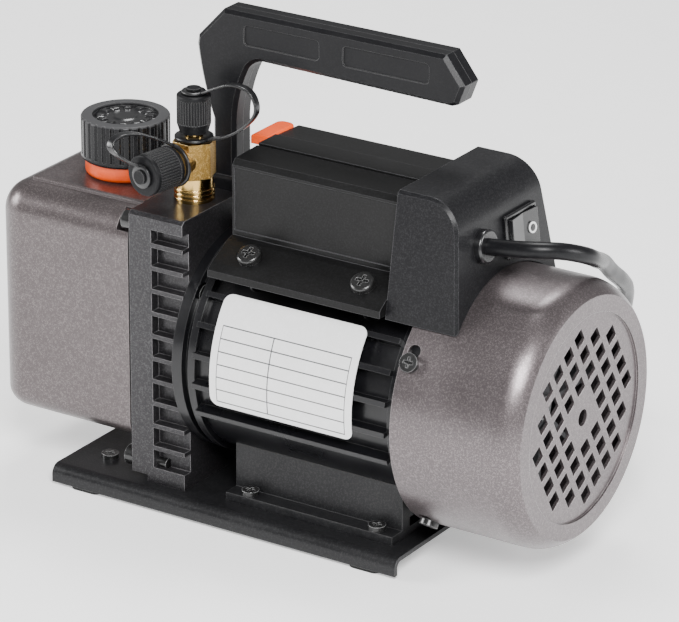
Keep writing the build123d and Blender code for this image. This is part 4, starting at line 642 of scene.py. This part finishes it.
def roundedRing(centre, across, up, normal, inner, outer, thickness):
    # a ring: its section is a rounded rectangle, turned about the normal through the centre
    turns, corner = 72, 0.0002
    section = np.array([(inner, corner), (inner + corner, 0), (outer - corner, 0), (outer, corner),
                        (outer, thickness - corner), (outer - corner, thickness), (inner + corner, thickness),
                        (inner, thickness - corner)])
    angle = np.linspace(0, 2 * pi, turns, endpoint=False)
    radial = np.cos(angle)[:, None] * across + np.sin(angle)[:, None] * up
    return centre + radial[:, None, :] * section[None, :, 0, None] + normal * section[None, :, 1, None]


def smoothPath(points, steps):
    # a Catmull-Rom curve: each span is the cubic whose slope at a point is half the chord of its neighbours
    p = np.vstack([2 * points[0] - points[1], points, 2 * points[-1] - points[-2]])
    t = np.linspace(0, 1, steps, endpoint=False)[None, :, None]
    a, b, c, d = (p[i:len(p) - 3 + i, None, :] for i in range(4))
    square = (2 * a - 5 * b + 4 * c - d) * t ** 2
    cube = (3 * b - a - 3 * c + d) * t ** 3
    spans = 0.5 * (2 * b + (c - a) * t + square + cube)
    return np.vstack([spans.reshape(-1, 3), points[-1:]])


def strapAlong(path, side, width, thickness):
    # a rounded strip carried along a path: its width lies along the given side, its thickness across it
    tangent = np.gradient(path, axis=0)
    tangent /= np.linalg.norm(tangent, axis=1, keepdims=True)
    flat = side - tangent * (tangent @ side)[:, None]
    flat /= np.linalg.norm(flat, axis=1, keepdims=True)
    thick = np.cross(tangent, flat)
    power = 0.35  # a section of power one is an ellipse, and a lower one is squarer
    angle = np.linspace(0, 2 * pi, 20, endpoint=False)
    wide = np.sign(np.cos(angle)) * np.abs(np.cos(angle)) ** power * width / 2
    deep = np.sign(np.sin(angle)) * np.abs(np.sin(angle)) ** power * thickness / 2
    return path[:, None, :] + flat[:, None, :] * wide[None, :, None] + thick[:, None, :] * deep[None, :, None]


smallTether = {"eye": 0.0052, "pin": 0.0020, "ring": 0.0084, "neck": 0.0038, "thickness": 0.0012,
               "width": 0.0036, "eyeLift": 0.0002, "ringLift": 0.0007, "capFoot": 0.0036, "capTall": 0.0170}
capTop = hexTop + smallTether["capFoot"] + smallTether["capTall"]
smallRoute = np.array([(4.6, 0.8), (17.1, 6.8), (24.7, 7.4), (29.7, 5.2), (32.1, -0.1), (30.5, -5.2),
                       (24.4, -11.4), (16.7, -16.2), (8.0, 1000 * (hexTop - capTop) + 1.3)]) / 1000
smallPoints = np.stack([fittingX + smallRoute[:, 0], np.full(len(smallRoute), fittingY),
                        capTop + smallRoute[:, 1]], -1)
smallPath = smoothPath(smallPoints, 14)
fittingPoint = np.array([fittingX, fittingY, 0.0])
smallStrap = joinSurfaces("smallStrap", [
    (strapAlong(smallPath, alongY, smallTether["width"], smallTether["thickness"]), False, True),
    (roundedRing(fittingPoint + upright * (capTop + smallTether["eyeLift"]), alongX, alongY, upright,
                 smallTether["pin"], smallTether["eye"], smallTether["thickness"]), True, True),
    (roundedRing(fittingPoint + upright * (hexTop + smallTether["ringLift"]), alongX, alongY, upright,
                 smallTether["neck"], smallTether["ring"], smallTether["thickness"]), True, True)],
    finishes["strapBlack"])
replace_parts(smallStrap, "small_cap_tether")
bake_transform(smallStrap)

largeTether = {"eye": 0.0052, "pin": 0.0020, "ring": 0.0096, "neck": 0.0065, "thickness": 0.0012,
               "width": 0.0036, "eyeLift": 0.0002, "capEnd": 0.0312, "ringStart": 0.0120}
largeRoute = np.array([(-1.2, 8.6, 12.6), (-3.4, 10.6, 15.4), (-5.6, 12.9, 19.9), (-7.2, 16.1, 27.3),
                       (-8.8, 17.1, 34.0), (-10.1, 15.7, 38.6), (-9.4, 12.9, 40.6), (-6.5, 9.9, 39.6),
                       (-4.1, 6.6, 36.0), (-2.4, 4.4, 32.4)]) / 1000
portPoint = np.array([fittingX, fittingY, portZ])
largePoints = (portPoint + largeRoute[:, :1] * portAcross + largeRoute[:, 1:2] * upright
               + largeRoute[:, 2:] * portOut)
largePath = smoothPath(largePoints, 14)
largeStrap = joinSurfaces("largeStrap", [
    (strapAlong(largePath, portAcross, largeTether["width"], largeTether["thickness"]), False, True),
    (roundedRing(portPoint + portOut * (largeTether["capEnd"] + largeTether["eyeLift"]), portAcross, upright,
                 portOut, largeTether["pin"], largeTether["eye"], largeTether["thickness"]), True, True),
    (roundedRing(portPoint + portOut * largeTether["ringStart"], portAcross, upright, portOut,
                 largeTether["neck"], largeTether["ring"], largeTether["thickness"]), True, True)],
    finishes["strapBlack"])
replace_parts(largeStrap, "large_cap_tether")
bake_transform(largeStrap)
print("tethers made")


capFace = {"radius": 0.0141, "sunk": 0.0016, "lobes": 12, "lobeSharp": 14, "lobeShift": 0.25,
           "height": 0.0011, "skin": 0.00005, "bandIn": 0.0088, "bandOut": 0.0126, "bandSlope": 0.00022,
           "button": 0.0052, "buttonSlope": 0.0002, "buttonShare": 0.5}


def makeCapFace():
    # height is a raised band near the edge, cut by a cosine of twelve turns into lobes, over a level disc
    low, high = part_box("oil_fill_cap")
    centre = np.array([(low.x + high.x) / 2, (low.y + high.y) / 2, high.z - capFace["sunk"]])
    radius = np.linspace(0.0, capFace["radius"], 48)[:, None]
    angle = np.linspace(0, 2 * pi, 240, endpoint=False)[None, :]
    lobe = 1 / (1 + np.exp(-capFace["lobeSharp"] * (np.cos(capFace["lobes"] * angle) + capFace["lobeShift"])))
    rise = 1 / (1 + np.exp(-(radius - capFace["bandIn"]) / capFace["bandSlope"]))
    band = rise * 1 / (1 + np.exp((radius - capFace["bandOut"]) / capFace["bandSlope"]))
    button = capFace["buttonShare"] / (1 + np.exp((radius - capFace["button"]) / capFace["buttonSlope"]))
    height = capFace["height"] * (band * lobe + button) + capFace["skin"]
    x = centre[0] + radius * np.cos(angle)
    y = centre[1] + radius * np.sin(angle)
    points = np.stack([x, y, centre[2] + height], -1)
    piece = joinSurfaces("capFace", [(points, False, True)], finishes["capBlack"])
    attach(piece, "fill_cap")


makeCapFace()


rocker = {"y": 0.0128, "z": 0.1406, "proud": 0.001, "turn": 10.0, "ridge": 0.0016, "tip": 0.0030,
          "reach": 0.012}
faceUp = np.array([-sin(wallLean), 0.0, cos(wallLean)])
rockerCentre = wallPoint(rocker["y"], rocker["z"]) + faceNormal * rocker["proud"]


def markPlace(side, along, high, lift):
    # the button's two faces slope from its ridge, and the whole is turned by half its travel
    turn = radians(rocker["turn"])
    slope = (rocker["tip"] - rocker["ridge"]) / rocker["reach"]
    y = side * along
    out = rocker["ridge"] + slope * np.abs(y) + lift
    turnedY = y * cos(turn) - out * sin(turn)
    turnedOut = y * sin(turn) + out * cos(turn)
    return (rockerCentre + turnedY[..., None] * alongY + turnedOut[..., None] * faceNormal
            + high[..., None] * faceUp)


marks = {"along": 0.0052, "barHalf": 0.0021, "ringRadius": 0.0018, "ringStretch": 1.15, "foot": 0.00035,
         "top": 0.00028, "sunk": 0.0001, "shoulder": 0.00008, "proud": 0.00012}


def makeMarks():
    # a bar and a ring, each a thin raised skin that closes on the button's face
    foot, top, shoulder = marks["foot"], marks["top"], marks["shoulder"]
    lift = np.array([-marks["sunk"], shoulder, marks["proud"], marks["proud"], shoulder, -marks["sunk"]])
    across = np.array([-foot, -foot, -top, top, foot, foot])
    high = np.linspace(-marks["barHalf"], marks["barHalf"], 10)
    barY = np.broadcast_to(marks["along"] + across[None, :], (10, 6))
    barHigh = np.broadcast_to(high[:, None], (10, 6))
    bar = markPlace(-1, barY, barHigh, np.broadcast_to(lift[None, :], (10, 6)))
    angle = np.linspace(0, 2 * pi, 40, endpoint=False)[:, None]
    ringRadius = marks["ringRadius"] + across[None, :]
    ring = markPlace(1, marks["along"] + ringRadius * np.cos(angle),
                     marks["ringStretch"] * ringRadius * np.sin(angle),
                     np.broadcast_to(lift[None, :], (40, 6)))
    piece = joinSurfaces("switchMarks", [(bar, False, False), (ring, True, False)], finishes["switchMark"])
    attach(piece, "rocker")


makeMarks()


springs = {"turns": 3, "wire": 0.00028, "radius": 0.0015, "share": (0.27, 0.73), "length": 0.00334,
           "keep": 0.45}


def makeSprings(side, vane):
    # a helix: two coordinates go round a circle while the third climbs evenly, and the wire's ring follows it
    rotorLow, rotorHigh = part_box("pump_rotor")
    springLow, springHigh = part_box("vane_springs")
    outer = max(abs(springLow.y), abs(springHigh.y)) - springs["wire"]
    inner = outer - springs["length"]
    count = 36 * springs["turns"]
    turn = np.linspace(0, 2 * pi * springs["turns"], count)
    grids = []
    for share in springs["share"]:
        x = rotorLow.x + (rotorHigh.x - rotorLow.x) * share
        path = np.stack([x + springs["radius"] * np.cos(turn),
                         side * (inner + (outer - inner) * np.linspace(0, 1, count)),
                         shaftZ + springs["radius"] * np.sin(turn)], -1)
        tangent = np.gradient(path, axis=0)
        tangent /= np.linalg.norm(tangent, axis=1, keepdims=True)
        out = np.stack([np.cos(turn), np.zeros(count), np.sin(turn)], -1)
        across = np.cross(tangent, out)
        angle = np.linspace(0, 2 * pi, 10, endpoint=False)
        ring = (path[:, None, :] + springs["wire"] * (out[:, None, :] * np.cos(angle)[None, :, None]
                                                      + across[:, None, :] * np.sin(angle)[None, :, None]))
        grids.append((ring, False, True))
    piece = joinSurfaces("springs" + vane[-1].upper(), grids, finishes["reedSteel"])
    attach(piece, "rotor")
    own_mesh(piece)
    return piece


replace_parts(makeSprings(1, "vane_a"), "vane_springs")
makeSprings(-1, "vane_b")


floorSheet = {"half": 6.0, "rows": 9, "drop": 0.0002, "colour": (0.93, 0.93, 0.93), "glow": 0.5}


def makeFloor():
    # a level sheet whose far edge is out of sight
    count = floorSheet["rows"]
    reach = np.linspace(-floorSheet["half"], floorSheet["half"], count)
    x, y = np.meshgrid(reach, reach, indexing="ij")
    points = np.stack([x, y, np.full_like(x, -floorSheet["drop"])], -1)
    rows = np.arange(count * count).reshape(count, count)
    faces = np.stack([rows[:-1, :-1], rows[1:, :-1], rows[1:, 1:], rows[:-1, 1:]], -1).reshape(-1, 4)
    mesh = bpy.data.meshes.new("floor")
    mesh.from_pydata(points.reshape(-1, 3), [], faces)
    material, tree, shader, place = startMaterial("paleFloor", specular=0.2)
    cloud = placeGroup(tree, handling, place, Low=0.55, High=0.65)
    tree.links.new(cloud.outputs["Value"], shader.inputs["Roughness"])
    shader.inputs["Base Color"].default_value = (*floorSheet["colour"], 1)
    shader.inputs["Emission Color"].default_value = (1, 1, 1, 1)
    shader.inputs["Emission Strength"].default_value = floorSheet["glow"]
    mesh.materials.append(material)
    floor = bpy.data.objects.new("floor", mesh)
    bpy.context.scene.collection.objects.link(floor)


makeFloor()

lights = {
    # place, aim, size, power in watts
    "keyLight": ((0.9, -1.1, 1.3), (0.0, 0.0, 0.08), 0.7, 56.0),
    "leftLight": ((-1.5, -0.7, 0.7), (0.0, 0.0, 0.08), 0.7, 26.0),
    "topLight": ((-0.3, 0.7, 1.6), (0.0, 0.0, 0.1), 0.6, 20.0),
    "rightLight": ((1.6, 0.6, 0.6), (0.1, 0.0, 0.08), 0.6, 20.0),
}
for name, (place, aim, size, power) in lights.items():
    lamp = bpy.data.lights.new(name, "AREA")
    lamp.shape = "SQUARE"
    lamp.size = size
    lamp.energy = power
    holder = bpy.data.objects.new(name, lamp)
    bpy.context.scene.collection.objects.link(holder)
    holder.location = place
    holder.rotation_euler = (Vector(aim) - Vector(place)).to_track_quat("-Z", "Y").to_euler()

world = bpy.data.worlds.new("studio")
world.use_nodes = True
bpy.context.scene.world = world
sky = world.node_tree
backdrop = sky.nodes["Background"]
backdrop.inputs["Color"].default_value = (1, 1, 1, 1)
skyLight = 0.24  # what the pump gets from the sky, while the open sky itself shows white
seen = addNode(sky, "ShaderNodeLightPath").outputs["Is Camera Ray"]
sky.links.new(mathNode(sky, "MULTIPLY_ADD", seen, 1 - skyLight, skyLight), backdrop.inputs["Strength"])

bpy.context.view_layer.update()
print("scene ready")
